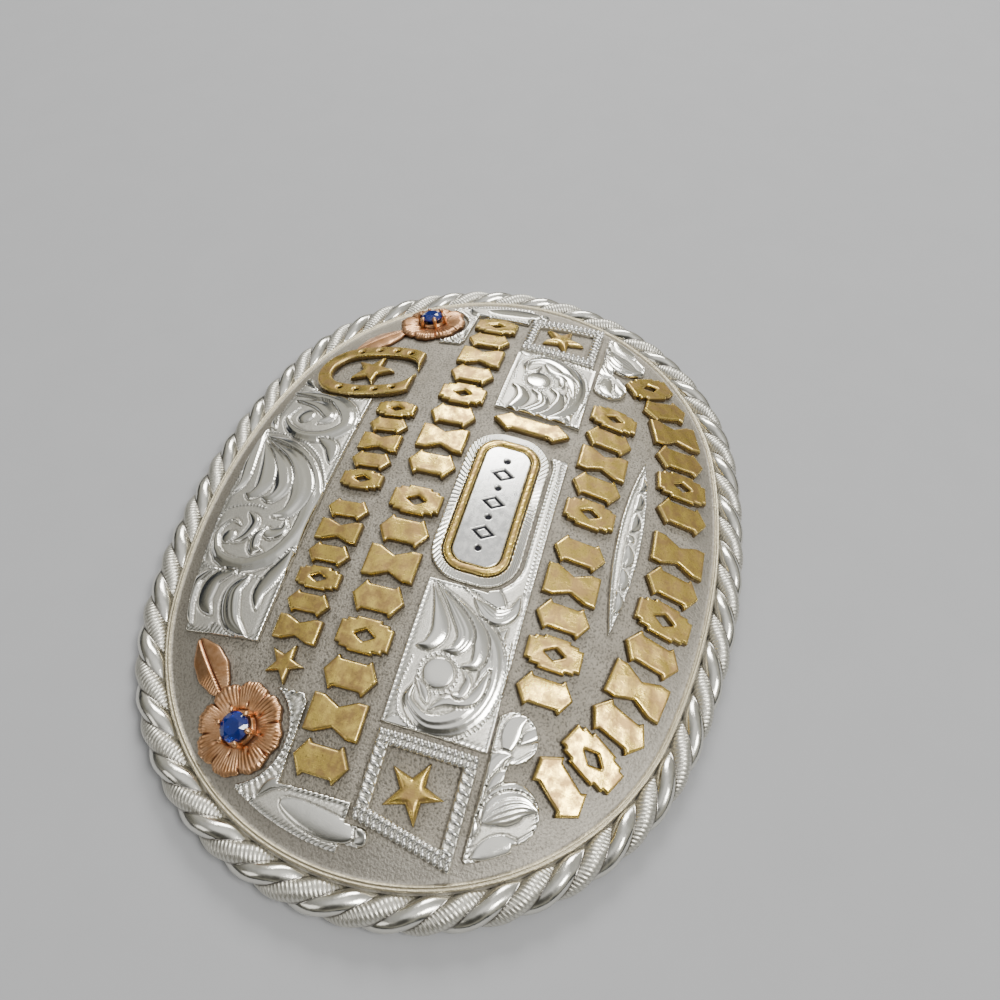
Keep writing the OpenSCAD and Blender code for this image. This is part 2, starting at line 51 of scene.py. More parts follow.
camera = stand("camera", bpy.data.cameras.new("camera"))
camera.data.lens, camera.data.sensor_width = 28.8, 36
camera.data.clip_start, camera.data.clip_end = 0.005, 20
camera_place = (0.0570, 0.0171, 0.0935)
camera_right = (-0.2653, 0.9633, 0.0400)
camera_up = (-0.7799, -0.2389, 0.5785)
camera_back = (0.5669, 0.1223, 0.8147)
camera_axes = mathutils.Matrix((camera_right, camera_up, camera_back)).transposed()
camera.matrix_world = mathutils.Matrix.LocRotScale(mathutils.Vector(camera_place),
                                                   camera_axes.to_quaternion(), None)
bpy.context.scene.camera = camera

# ---------------------------------------------------------------- domed oval plate
# Rolled German silver, about 1.3 mm thick, pressed into a dome and frosted with fine
# punch marks. A thin doubled ridge runs round its edge, with a smoother band inside it.
half_len, half_wid = 45.3, 33.9
end_r = 0.955 * half_wid
end_c = half_len - end_r
side_c = (end_c ** 2 - (half_wid - end_r) ** 2) / (2 * (half_wid - end_r))
side_r = side_c + half_wid
meet_a = math.atan2(side_c, end_c)
dome_r_len, dome_r_wid = 133.0, 79.4
barrel_r = dome_r_len - dome_r_wid
rope_r = 1.85
rope_out = rope_r + 0.1
plate_t = 1.3
seat_gap = 0.1
crown_z = rope_r + plate_t / 2 + dome_r_len - math.sqrt(dome_r_len ** 2 - (half_len + rope_out) ** 2)
both_ends = ((-1, "left"), (1, "right"))


def fx(share):
    """Places along the plate are shares of half its length."""
    return share * half_len


def fy(share):
    """Places across the plate are shares of half its width."""
    return share * half_wid


def on_face(x, y, h):
    """A point h above the plate's face, over the place x, y (millimetres)."""
    barrel = barrel_r + np.sqrt(dome_r_wid ** 2 - y ** 2)
    root = np.sqrt(barrel ** 2 - x ** 2)
    slope_x = x / root
    slope_y = barrel / root * y / np.sqrt(dome_r_wid ** 2 - y ** 2)
    size = np.sqrt(1 + slope_x ** 2 + slope_y ** 2)
    return np.stack([x + h * slope_x / size, y + h * slope_y / size,
                     crown_z - dome_r_len + root + h / size], -1)


def rolled(p, q, angle):
    """Two coordinates turned by an angle."""
    c, s = math.cos(angle), math.sin(angle)
    return p * c + q * s, q * c - p * s


def seat(x, y, turn=0.0):
    """Gives a function that stands a small piece square to the plate at x, y."""
    across = math.asin(y / dome_r_wid)
    along = math.asin(x / (barrel_r + math.sqrt(dome_r_wid ** 2 - y ** 2)))

    def put(px, py, pz):
        px, py = rolled(px, py, -turn)
        py, pz = rolled(py, pz + dome_r_wid, across)
        px, pz = rolled(px, pz + barrel_r, along)
        return np.stack([px, py, pz + crown_z - dome_r_len], -1)
    return put


def round_the_oval(s, grow):
    """Place and outward direction after s millimetres along the oval grown by grow."""
    r1, r2 = end_r + grow, side_r + grow
    on_ends = meet_a * r1
    quarter = on_ends + (math.pi / 2 - meet_a) * r2
    s = np.mod(s, 4 * quarter)
    back = s >= 2 * quarter
    s = s - 2 * quarter * back
    flip = s > quarter
    q = np.where(flip, 2 * quarter - s, s)
    end = q < on_ends
    a = np.where(end, q / r1, meet_a + (q - on_ends) / r2)
    x = np.where(end, end_c + r1 * np.cos(a), r2 * np.cos(a))
    y = np.where(end, r1 * np.sin(a), r2 * np.sin(a) - side_c)
    x, a = np.where(flip, -x, x), np.where(flip, math.pi - a, a)
    return np.where(back, -x, x), np.where(back, -y, y), np.where(back, a + math.pi, a), 4 * quarter


def ring_faces(count, around):
    """Faces between rings of points, and a fan to the one point that closes each end."""
    ring, step = np.meshgrid(np.arange(count - 1), np.arange(around), indexing="ij")
    a, b = ring * around + step, ring * around + (step + 1) % around
    here, ahead, last = np.arange(around), (np.arange(around) + 1) % around, (count - 1) * around
    pole = np.full(around, count * around)
    return [np.stack([a, a + around, b + around, b], -1).reshape(-1, 4), np.stack([pole, here, ahead], -1),
            np.stack([pole + 1, last + ahead, last + here], -1)]


def build(name, shells, materials, smooth=True):
    """One mesh object from shells of points in millimetres, faces, and numbers for each point or corner."""
    points, faces, numbers = [], [], {}
    for shell in shells:
        start = sum(len(p) for p in points)
        points.append(shell["points"])
        for block in shell["faces"]:
            faces += (np.asarray(block) + start).tolist()
        for key, values in shell.get("numbers", {}).items():
            numbers.setdefault(key, []).append(values)
    mesh = bpy.data.meshes.new(name)
    mesh.from_pydata((np.vstack(points) * 0.001).tolist(), [], faces)
    for key, values in numbers.items():
        values = np.concatenate(values).astype(np.float32)
        domain = "POINT" if len(values) == len(mesh.vertices) else "CORNER"
        mesh.attributes.new(key, "FLOAT", domain).data.foreach_set("value", values)
    for material in materials:
        mesh.materials.append(material)
    mesh.polygons.foreach_set("use_smooth", [smooth] * len(faces))
    mesh.update()
    return stand(name, mesh)


def wired(tree, kind, inputs=(), **settings):
    """A new node with its settings; each of its inputs is linked to a socket or set to a value."""
    made = tree.nodes.new(kind)
    for key, value in settings.items():
        setattr(made, key, value)
    for key, value in dict(inputs).items():
        if isinstance(value, bpy.types.NodeSocket):
            tree.links.new(value, made.inputs[key])
        else:
            made.inputs[key].default_value = value
    return made


class Finish:
    """A material whose colour, roughness and bump come from nodes."""

    def __init__(self, name, metallic=1.0):
        self.material = bpy.data.materials.new(name)
        self.material.use_nodes = True
        self.tree = self.material.node_tree
        self.shader = self.tree.nodes["Principled BSDF"]
        self.shader.inputs["Metallic"].default_value = metallic
        self.place = self.tree.nodes.new("ShaderNodeTexCoord").outputs["Object"]

    def node(self, kind, inputs=(), **settings):
        return wired(self.tree, kind, inputs, **settings)

    def number(self, name):
        return self.node("ShaderNodeAttribute", attribute_name=name).outputs["Fac"]

    def noise(self, millimetres, detail=3, rough=0.55, stretch=(1, 1, 1)):
        place = self.node("ShaderNodeMapping", {"Vector": self.place, "Scale": stretch}).outputs["Vector"]
        return self.node("ShaderNodeTexNoise", {"Vector": place, "Scale": 1000 / millimetres,
                                                "Detail": detail, "Roughness": rough}).outputs["Fac"]

    def math(self, operation, a, b=0.0):
        return self.node("ShaderNodeMath", {0: a, 1: b}, operation=operation).outputs[0]

    def span(self, value, low, high, to_low=0.0, to_high=1.0):
        return self.node("ShaderNodeMapRange", {"Value": value, "From Min": low, "From Max": high,
                                                "To Min": to_low, "To Max": to_high}).outputs["Result"]

    def mix(self, share, a, b):
        a, b = ((*value, 1) if isinstance(value, tuple) else value for value in (a, b))
        return self.node("ShaderNodeMix", {0: share, 6: a, 7: b}, data_type="RGBA").outputs[2]

    def set(self, socket, value):
        self.tree.links.new(value, self.shader.inputs[socket])

    def bump(self, height, depth_mm, strength=1.0, under=None):
        inputs = {"Height": height, "Distance": depth_mm / 1000, "Strength": strength}
        if under is not None:
            inputs["Normal"] = under
        return self.node("ShaderNodeBump", inputs).outputs["Normal"]


mat = plate_silver = Finish("frosted_plate")
satin, ridge, back = (mat.number(name) for name in ("satin", "ridge", "back"))
grain = mat.noise(0.27, 2, 0.5)
cloud = mat.noise(3.5, 4, 0.6)
tone = mat.mix(mat.span(cloud, 0.35, 0.68), (0.39, 0.36, 0.305), (0.485, 0.45, 0.385))
tone = mat.mix(mat.span(grain, 0.30, 0.52), (0.20, 0.185, 0.155), tone)
tone = mat.mix(mat.math("MULTIPLY", satin, 0.45), tone, (0.38, 0.355, 0.31))
tone = mat.mix(ridge, tone, (0.56, 0.50, 0.36))
tone = mat.mix(back, tone, (0.60, 0.58, 0.54))
mat.set("Base Color", tone)
worn = mat.math("MAXIMUM", mat.math("MULTIPLY", satin, 0.5), ridge)
mat.set("Roughness", mat.span(worn, 0, 1, 0.72, 0.42))
punch_depth = mat.span(mat.math("MAXIMUM", satin, ridge), 0, 1, 1, 0.55)
mat.set("Normal", mat.bump(mat.math("MULTIPLY", grain, punch_depth), 0.13, 1.0))

around = 300
oval_len = round_the_oval(0, 0)[3]
base_x, base_y, base_a, _ = round_the_oval(np.arange(around) * oval_len / around, 0)
# The section from the middle outwards, round the edge and back under: share of the oval,
# inset from it, height above the face and how smooth the metal is there.
shares_outwards = [0.02, 0.1, 0.2, 0.3, 0.4, 0.5, 0.6, 0.7, 0.8, 0.9]
band_inset = -6
edge_profile = [(band_inset, 0, 0), (-5, 0, 0.05), (-4.2, 0, 0.6), (-3.4, 0, 0.9), (-2.4, 0, 1),
                (-1.5, 0, 1), (-0.85, 0, 1), (-0.68, 0.03, 0.8), (-0.61, 0.2, 0.4), (-0.54, 0.33, 0),
                (-0.45, 0.36, 0), (-0.36, 0.25, 0.2), (-0.29, 0.24, 0.2), (-0.22, 0.36, 0), (-0.13, 0.4, 0),
                (-0.03, 0.33, 0), (0.06, 0.12, 0), (0.35, -0.2, 0), (0.5, -plate_t + 0.15, 0),
                (-0.15, -plate_t, 0), (band_inset, -plate_t, 0)]
profile = [(share, band_inset, 0, 0) for share in shares_outwards] + [(1, *row) for row in edge_profile]
profile += [(share, band_inset, -plate_t, 0) for share in shares_outwards[::-1]]
rings = [on_face(share * (base_x + inset * np.cos(base_a)), share * (base_y + inset * np.sin(base_a)), height)
         for share, inset, height, _ in profile]
poles = np.array([on_face(0.0, 0.0, 0.0), on_face(0.0, 0.0, -plate_t)])
_, _, height, smoother = np.array(profile).T
plate = build("domed_plate", [{
    "points": np.vstack(rings + [poles]), "faces": ring_faces(len(rings), around),
    "numbers": {"satin": np.append(np.repeat(smoother, around), [0, 0]),
                "ridge": np.append(np.repeat(height > 0.15, around), [0, 0]),
                "back": np.append(np.repeat(height < 0, around), [0, 1])}}],
    [plate_silver.material])
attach(plate, "root")
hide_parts("base_plate")

# ---------------------------------------------------------------- rope rim
# Cast German silver rope soldered round the plate: twisted strands, every other one
# polished, those between cut across with fine ribs.
rope_marks = 68
rope_rings, rope_sides = 1156, 66
strand_out, strand_r, rope_half_w = 0.65, 1.2, 1.92
rib_count, rib_lean = 476, 2.6
rope_len = round_the_oval(0, rope_out)[3]
k, j = np.meshgrid(np.arange(rope_rings), np.arange(rope_sides), indexing="ij")
s = k * rope_len / rope_rings
x, y, out_a, _ = round_the_oval(s, rope_out)
# three strands show round the section; a point's turn is counted from under the rope
turn = 2 * math.pi * (rope_marks / 3 * s / rope_len + j / rope_sides)
turn = np.mod(turn + math.pi / 2, 2 * math.pi) - math.pi / 2
psi = (j % (rope_sides // 3)) / (rope_sides // 3) * 2 * math.pi / 3 - math.pi / 3
bulge = (strand_out * np.cos(psi) + np.sqrt(strand_r ** 2 - (strand_out * np.sin(psi)) ** 2)) / rope_r
# the rope is a little squarer outside the plate's edge, and its strands are shallower inside
squarer = 2 + 0.7 * np.clip((turn - 1.9) / 0.7, 0, 1) * np.clip((3.5 - turn) / 0.4, 0, 1)
full = (np.abs(np.cos(turn)) / rope_half_w) ** squarer + (np.abs(np.sin(turn)) / rope_r) ** squarer
full = np.where(squarer > 2.001, full ** (-1 / squarer), rope_r)
shallow = np.clip((turn - 2.4) / 0.8, 0, 0.6)
section = full * (bulge + (1 - bulge) * shallow)
outwards = section * np.cos(turn)
rope_points = np.stack([x + outwards * np.cos(out_a), y + outwards * np.sin(out_a),
                        rope_r + section * np.sin(turn)], -1).reshape(-1, 3)
shift = round(rope_sides * (rope_marks / 3 % 1))
ahead_j = np.where(k == rope_rings - 1, j + shift, j)
here, ahead = k * rope_sides, (k + 1) % rope_rings * rope_sides
rope_faces = np.stack([here + j, here + (j + 1) % rope_sides, ahead + (ahead_j + 1) % rope_sides,
                       ahead + ahead_j % rope_sides], -1).reshape(-1, 4)
step_s, step_turn = rope_len / rope_rings, 2 * math.pi / rope_sides
turn_on = 2 * math.pi * rope_marks / 3 / rope_rings
at_s = np.stack([s, s, s + step_s, s + step_s], -1)
at_turn = np.stack([turn, turn + step_turn, turn + step_turn + turn_on, turn + turn_on], -1)
rib = rib_count * at_s / rope_len + rib_lean * at_turn
mark = rope_marks * at_s.mean(-1) / rope_len - 3 * at_turn.mean(-1) / (2 * math.pi)
cut_across = (np.floor(mark + 100).astype(int) % 2 == 0).reshape(-1)
# painted shade: 0 on a strand's crest, 1 deep in the groove between strands
painted_valley_shade = (np.abs(psi) / (math.pi / 3) * (1 - 0.5 * shallow)).reshape(-1)

mat = polished_rope = Finish("polished_rope")
# painted shade darkens the grooves between strands
depth = mat.span(mat.number("painted_valley_shade"), 0.84, 1.0)
smear = mat.noise(1.2, 3, 0.6)
tone = mat.mix(smear, (0.66, 0.645, 0.58), (0.87, 0.85, 0.77))
mat.set("Base Color", mat.mix(depth, tone, (0.22, 0.205, 0.19)))
mat.set("Roughness", mat.span(smear, 0.3, 0.7, 0.13, 0.26))
mat.set("Normal", mat.bump(mat.noise(0.9, 3, 0.5), 0.05, 0.5))
mat = cut_rope = Finish("cross_cut_rope")
wave = mat.math("SINE", mat.math("MULTIPLY", mat.number("rib"), 2 * math.pi))
wave = mat.span(wave, -1, 1)
wave = mat.math("POWER", wave, 0.6)
# painted shade darkens the grooves between strands and between the ribs
depth = mat.math("MAXIMUM", mat.span(mat.number("painted_valley_shade"), 0.82, 1.0), mat.span(wave, 0.4, 0.0, 0, 0.45))
mat.set("Base Color", mat.mix(depth, (0.72, 0.70, 0.62), (0.15, 0.135, 0.11)))
mat.set("Roughness", mat.span(wave, 0, 1, 0.50, 0.34))
mat.set("Normal", mat.bump(wave, 0.045, 1.0, mat.bump(mat.noise(0.5, 3), 0.06, 0.7)))
rope = build("rope_rim", [{"points": rope_points, "faces": [rope_faces],
                           "numbers": {"painted_valley_shade": painted_valley_shade, "rib": rib.reshape(-1)}}],
             [polished_rope.material, cut_rope.material])
rope.data.polygons.foreach_set("material_index", cut_across.astype(np.int32))
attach(rope, "root")
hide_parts("rope_edge")

# ---------------------------------------------------------------- brass ornaments in rows
# Sawn from brass sheet 0.8 mm thick, edges filed round, soldered to the plate; a painted highlight
# lightens the edges and painted shade darkens the feet and recesses. Stepped diamonds, spears and waisted
# blocks take turns.
brass_t = 0.8
brass_pitch = 0.13
brass_top = seat_gap + brass_t
row_space = 1.5
ornament_share = 0.92
star_waist = 0.42


def polygon(points):
    """Signed distance to a closed outline, negative inside."""
    points = [tuple(p) for p in points]

    def distance(x, y):
        best = np.full(np.shape(x), 1e9)
        inside = np.zeros(np.shape(x), bool)
        for (ax, ay), (bx, by) in zip(points, points[1:] + points[:1]):
            ex, ey = bx - ax, by - ay
            f = np.clip(((x - ax) * ex + (y - ay) * ey) / (ex * ex + ey * ey), 0, 1)
            best = np.minimum(best, np.hypot(x - ax - f * ex, y - ay - f * ey))
            if ey:
                crosses = ((ay <= y) & (y < by)) | ((by <= y) & (y < ay))
                inside ^= crosses & (x < ax + (y - ay) * ex / ey)
        return np.where(inside, -best, best)
    return distance


def softened(grid, weight, reach):
    """Each value averaged with its neighbours, counting only the weighted ones."""
    total, shares = grid * weight, weight.astype(float)
    kernel = np.exp(-0.5 * (np.arange(-2 * reach, 2 * reach + 1) / reach) ** 2)
    for axis in (0, 1):
        for array in (total, shares):
            padded = np.pad(array, [(2 * reach, 2 * reach) if i == axis else (0, 0) for i in (0, 1)])
            size = array.shape[axis]
            array[...] = sum(w * np.take(padded, range(i, i + size), axis) for i, w in enumerate(kernel))
    return total / np.maximum(shares, 1e-9)


# how deep a recess must lie for full painted shade, and how wide the band of painted highlight along each edge
# is
painted_shade_depth, painted_highlight_w = 0.11, 0.3


def relief(outline, height, place, box, pitch):
    """A closed solid over an outline: its top is height(x, y, distance) and a dict of numbers."""
    x, y = np.meshgrid(np.arange(box[0] - pitch, box[1] + 2 * pitch, pitch),
                       np.arange(box[2] - pitch, box[3] + 2 * pitch, pitch))
    kept = outline((x[:-1, :-1] + x[1:, 1:]) / 2, (y[:-1, :-1] + y[1:, 1:]) / 2) < 0
    wide = np.pad(kept, 1)
    corners = [wide[i:i + x.shape[0], j:j + x.shape[1]] for i in (0, 1) for j in (0, 1)]
    used = np.logical_or.reduce(corners)
    border = used & ~np.logical_and.reduce(corners)
    bx, by = x[border], y[border]
    for _ in range(3):
        d = outline(bx, by)
        gx = (outline(bx + 1e-3, by) - outline(bx - 1e-3, by)) / 2e-3
        gy = (outline(bx, by + 1e-3) - outline(bx, by - 1e-3)) / 2e-3
        size = np.maximum(gx ** 2 + gy ** 2, 0.25)
        bx, by = bx - np.clip(d, -pitch, pitch) * gx / size, by - np.clip(d, -pitch, pitch) * gy / size
    x, y = x.copy(), y.copy()
    x[border], y[border] = bx, by
    d = np.minimum(outline(x, y), 0)
    d[border] = 0
    h, numbers = height(x, y, d)
    h = np.broadcast_to(h, x.shape)
    # painted shade: how far a point lies below its softened neighbours, so recesses darken where shade would
    # fall
    numbers["painted_recess_shade"] = np.clip((softened(h, used, 3) - h) / painted_shade_depth, 0, 1)
    # painted highlight: a band along the outline, which the finishes colour lighter
    numbers["edge"] = np.clip(1 + d / painted_highlight_w, 0, 1)
    index = np.full(x.shape, -1)
    index[used] = np.arange(used.sum())
    quads = np.stack([index[i:i + kept.shape[0], j:j + kept.shape[1]][kept]
                      for i, j in ((0, 0), (0, 1), (1, 1), (1, 0))], -1)
    sides = []
    for first, second, missing in (((0, 0), (0, 1), wide[:-2, 1:-1]), ((0, 1), (1, 1), wide[1:-1, 2:]),
                                   ((1, 1), (1, 0), wide[2:, 1:-1]), ((1, 0), (0, 0), wide[1:-1, :-2])):
        rim = kept & ~missing
        pair = [index[i:i + kept.shape[0], j:j + kept.shape[1]][rim] for i, j in (first, second)]
        sides.append(np.stack(pair, -1))
    sides = np.vstack(sides)
    top_x, top_y, top_h = x[used], y[used], h[used]
    # the underside is flat: its outline is filled with triangles, so it stays closed and light
    rim_ids, where = np.unique(sides, return_inverse=True)
    lower = where.reshape(-1, 2) + used.sum()
    walls = np.stack([sides[:, 1], sides[:, 0], lower[:, 0], lower[:, 1]], -1)
    flat = [mathutils.Vector((float(top_x[i]), float(top_y[i]))) for i in rim_ids]
    found = mathutils.geometry.delaunay_2d_cdt(flat, where.reshape(-1, 2).tolist(), [], 1, 1e-6)
    extra, floor_faces, spots = [], [], []
    for i, origin in enumerate(found[3]):
        if origin:
            spots.append(used.sum() + origin[0])
        else:
            spots.append(used.sum() + len(rim_ids) + len(extra))
            extra.append(found[0][i][:])
    for face in found[2]:
        middle = sum((found[0][i] for i in face), mathutils.Vector((0, 0))) / len(face)
        if outline(np.array([middle.x]), np.array([middle.y]))[0] < 0.02:
            floor_faces.append([spots[i] for i in face][::-1])
    extra = np.array(extra).reshape(-1, 2)
    below = len(rim_ids) + len(extra)
    all_x = np.concatenate([top_x, top_x[rim_ids], extra[:, 0]])
    all_y = np.concatenate([top_y, top_y[rim_ids], extra[:, 1]])
    all_h = np.concatenate([top_h, np.zeros(below)])
    # the points under the walls carry full painted shade, so each wall darkens towards its foot; the other
    # numbers are 0 there
    given = {key: np.append(np.broadcast_to(value, x.shape)[used], np.full(below, float(key == "painted_recess_shade")))
             for key, value in numbers.items()}
    return {"points": place(all_x, all_y, all_h), "faces": [quads, walls, np.array(floor_faces)],
            "numbers": given}


def rounded(d, top, r):
    """Height of a flat top whose edge is rounded to a radius r."""
    k = np.clip(1 + d / r, 0, 1)
    return top - r * (1 - np.sqrt(np.maximum(1 - k * k, 0)))


def worn_top(x, y, d):
    """Top of a brass piece: rounded edges, and a face that is never quite flat."""
    uneven = 0.018 * np.sin(1.7 * x + 0.6 * y) + 0.014 * np.sin(0.9 * x - 2.3 * y + 1)
    return rounded(d, brass_top - uneven * np.clip(-d / 0.5, 0, 1), 0.34), {}


# mottled brass colour, with painted highlight on the edges and painted shade in the recesses
mat = brass = Finish("mottled_brass_painted_light")
patch = mat.noise(1.6, 4, 0.62)
fine = mat.noise(0.25, 4, 0.7)
tone = mat.mix(mat.span(patch, 0.40, 0.60), (0.48, 0.31, 0.12), (0.97, 0.70, 0.18))
tone = mat.mix(mat.span(fine, 0.42, 0.30), tone, (0.30, 0.21, 0.08))
# painted highlight: a bright yellow band along every edge
tone = mat.mix(mat.math("MULTIPLY", mat.number("edge"), 0.75), tone, (0.97, 0.77, 0.27))
# painted shade: recesses and the feet of the walls darkened
tone = mat.mix(mat.span(mat.number("painted_recess_shade"), 0.35, 1.1), tone, (0.18, 0.125, 0.07))
mat.set("Base Color", tone)
mat.set("Roughness", mat.span(patch, 0.38, 0.62, 0.44, 0.20))
streak = mat.noise(0.16, 3, 0.6, (1, 0.12, 1))
mat.set("Normal", mat.bump(streak, 0.03, 0.5, mat.bump(patch, 0.10, 0.5)))

step_half = [(0, 0.5), (0.33, 0.5), (0.33, 0.4), (0.42, 0.4), (0.42, 0.24), (0.5, 0.24),
             (0.5, -0.24), (0.42, -0.24), (0.42, -0.4), (0.33, -0.4), (0.33, -0.5), (0, -0.5)]
spear_half = [(0, 0.5), (0.5, 0.3), (0.38, 0.24), (0.38, -0.24), (0.5, -0.3), (0, -0.5)]
waist_half = [(0.5, 0.5), (0.5, 0.3), (0.28, 0), (0.5, -0.3), (0.5, -0.5)]
lozenge_half = [(0, 0.5), (0.5, 0), (0, -0.5)]


def whole(half, width, height):
    """The outline whose right half is given, at its real size."""
    other = [(-px, py) for px, py in half[::-1] if px > 0]
    return [(px * width, py * height) for px, py in half + other]


def ornament(number, width, height, place):
    """A stepped diamond with a lozenge cut out, a spear, a waisted block, a spear, and so on."""
    if number % 4 == 0:
        block = polygon(whole(step_half, width, height))
        hole = polygon(whole(lozenge_half, 0.34 * width, 0.36 * height))

        def outline(x, y):
            return np.maximum(block(x, y), -hole(x, y))
    else:
        outline = polygon(whole(waist_half if number % 4 == 2 else spear_half, width, height))
    return relief(outline, worn_top, place, (-width / 2, width / 2, -height / 2, height / 2), brass_pitch)


def straight_row(low, high, left, right, count, space_after):
    """Ornaments side by side, with a wider space after one of them."""
    pitch = (fx(right) - fx(left) - row_space) / count
    xs = [fx(left) + (i + 0.5) * pitch + row_space * (i >= space_after) for i in range(count)]
    return [ornament(i, ornament_share * pitch, fy(high - low), seat(x, fy((low + high) / 2)))
            for i, x in enumerate(xs)]


def star(x, y, r, reach, pitch, top=worn_top):
    """A star with five tips, raised on the plate at x, y."""
    radii = [r, star_waist * r] * 5
    corners = [(q * math.sin(i * math.pi / 5), q * math.cos(i * math.pi / 5)) for i, q in enumerate(radii)]
    return relief(polygon(corners), top, seat(x, y), (-reach, reach, -reach, reach), pitch)


def brass_piece(name, node, shells):
    made = build(name, shells, [brass.material])
    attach(made, "root")
    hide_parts(node)


flower_x, flower_y, flower_r = fx(0.752), fy(-0.452), 5.2
leaf_a = math.radians(228)
leaf_len = 8.8
leaf_reach = flower_r + 0.88 * leaf_len
shoe_half_w, shoe_half_h = fy(0.178), fy(0.262)
shoe_x = -leaf_reach * math.cos(leaf_a) - flower_x + 0.88 * shoe_half_w + 0.4
shoe_y = fy(-0.575)
arch_count, arch_space_after, arch_end_a = 14, 6, math.radians(43.6)
arch_h = 7.6
arch_line = -2.0 - arch_h / 2
arch_side_r, arch_end_r = side_r + arch_line, end_r + arch_line
arch_side = (math.pi / 2 - meet_a) * arch_side_r
arch_half = arch_side + (meet_a - arch_end_a) * arch_end_r
arch_pitch = (2 * arch_half - row_space) / arch_count
arch = []
for i in range(arch_count):
    s = (i + 0.5) * arch_pitch + row_space * (i >= arch_space_after) - arch_half
    if abs(s) < arch_side:
        a = math.pi / 2 - s / arch_side_r
        x, y = arch_side_r * math.cos(a), arch_side_r * math.sin(a) - side_c
    else:
        a = math.pi / 2 - math.copysign(math.pi / 2 - meet_a + (abs(s) - arch_side) / arch_end_r, s)
        x, y = math.copysign(end_c, s) + arch_end_r * math.cos(a), arch_end_r * math.sin(a)
    arch.append(ornament(i, ornament_share * arch_pitch, arch_h, seat(x, y, a - math.pi / 2)))
brass_piece("arched_row", "top_row", arch)
brass_piece("brass_middle_row", "middle_row", straight_row(0.372, 0.572, -0.492, 0.528, 10, 5))
brass_piece("brass_lower_row", "lower_row", straight_row(-0.248, -0.056, -0.826, 0.828, 16, 8))
small_row = straight_row(-0.468, -0.302, (shoe_x + shoe_half_w + 0.4) / half_len, 0.53, 11, 5)
brass_piece("brass_small_row", "small_row", small_row + [star(fx(0.582), fy(-0.385), fy(0.073), 3, 0.11)])
spear = relief(polygon(whole(spear_half, fy(0.1), fy(0.32))), worn_top, seat(fx(-0.295), fy(0.165)),
               (-2, 2, -6, 6), 0.12)
brass_piece("side_spear", "side_ornament", [spear])

# ---------------------------------------------------------------- horseshoe and end stars
# Sawn from the same brass. The horseshoe stands toe down over the bottom field, with
# four nail holes in each branch and a star inside; one star stands in each end frame.
shoe_web = 0.36 * shoe_half_w
shoe_end_r = 0.93 * shoe_half_w
shoe_end_c = shoe_half_h - shoe_end_r
shoe_side_c = (shoe_end_c ** 2 - (shoe_half_w - shoe_end_r) ** 2) / (2 * (shoe_half_w - shoe_end_r))
shoe_opening = 0.76 * shoe_half_h
nail_r, nail_shares = 0.4, (-0.42, -0.1, 0.22, 0.5)


def shoe_distance(x, y):
    """Signed distance to the shoe's upright oval, from its middle."""
    ax, ay = np.abs(x), np.abs(y)
    end = ay * shoe_side_c > (ax + shoe_side_c) * shoe_end_c
    return np.where(end, np.hypot(ax, ay - shoe_end_c) - shoe_end_r,
                    np.hypot(ax + shoe_side_c, ay) - shoe_side_c - shoe_half_w)


def shoe_outline(x, y):
    band = np.maximum(shoe_distance(x, y), -shoe_distance(x, y) - shoe_web)
    band = np.maximum(band, y - shoe_opening)
    for side in (-1, 1):
        for share in nail_shares:
            hx = side * (shoe_half_w - shoe_web / 2) * math.sqrt(1 - share * share)
            band = np.maximum(band, nail_r - np.hypot(x - hx, y - share * shoe_half_h))
    return band


shoe = relief(shoe_outline, worn_top, seat(shoe_x, shoe_y),
              (-shoe_half_w, shoe_half_w, -shoe_half_h, shoe_half_h), 0.11)
shoe_star = star(shoe_x, shoe_y - 0.04 * shoe_half_h, 0.9 * (shoe_half_w - shoe_web), 4, 0.11)
brass_piece("brass_horseshoe", "horseshoe", [shoe, shoe_star])


def star_top(x, y, d):
    return rounded(d, brass_top, 0.75), {}


for side, word in both_ends:
    end_star = star(side * fx(0.785), fy(0.155), fy(0.104), 5, 0.1, star_top)
    brass_piece("brass_star_" + word, "end_star_" + word, [end_star])

# ---------------------------------------------------------------- engraved silver scroll fields
# Silver sheet 0.55 mm thick, soldered on and engraved by hand: polished leaves cut in the
# round, a frosted ground between them, and lines of wriggle cuts and beads along the edges.
sheet_top = seat_gap + 0.55
leaf_h = 0.4
side_gap = 0.4
ground_sink, leaf_sink = 0.05, 0.12
moat_w, moat_depth = 0.16, 0.2
# Strokes are drawn in millimetres along the bent face, and the height field's own places lie
# on the table under it; these bends, one over the dome's radii, lead from one to the other.
bend_x, bend_y = 0.0075, 0.0126

mat = scroll_silver = Finish("engraved_silver")
polish = mat.number("polish")
painted_recess_shade = mat.number("painted_recess_shade")
frost = mat.noise(0.16, 3, 0.7)
tone = mat.mix(mat.span(frost, 0.35, 0.6), (0.68, 0.655, 0.575), (0.93, 0.905, 0.82))
tone = mat.mix(polish, tone, (0.95, 0.93, 0.85))
# painted shade: recesses between the cuts and the feet of the walls darkened
tone = mat.mix(mat.span(painted_recess_shade, 0.3, 1.2, 0, 0.75), tone, (0.32, 0.30, 0.26))
mat.set("Base Color", tone)
mat.set("Roughness", mat.span(polish, 0, 1, 0.46, 0.14))
rough_ground = mat.math("MULTIPLY", frost, mat.span(polish, 0, 1, 1, 0.12))
mat.set("Normal", mat.bump(rough_ground, 0.06, 0.8, mat.bump(mat.noise(1.3, 2, 0.5), 0.05, 0.35)))


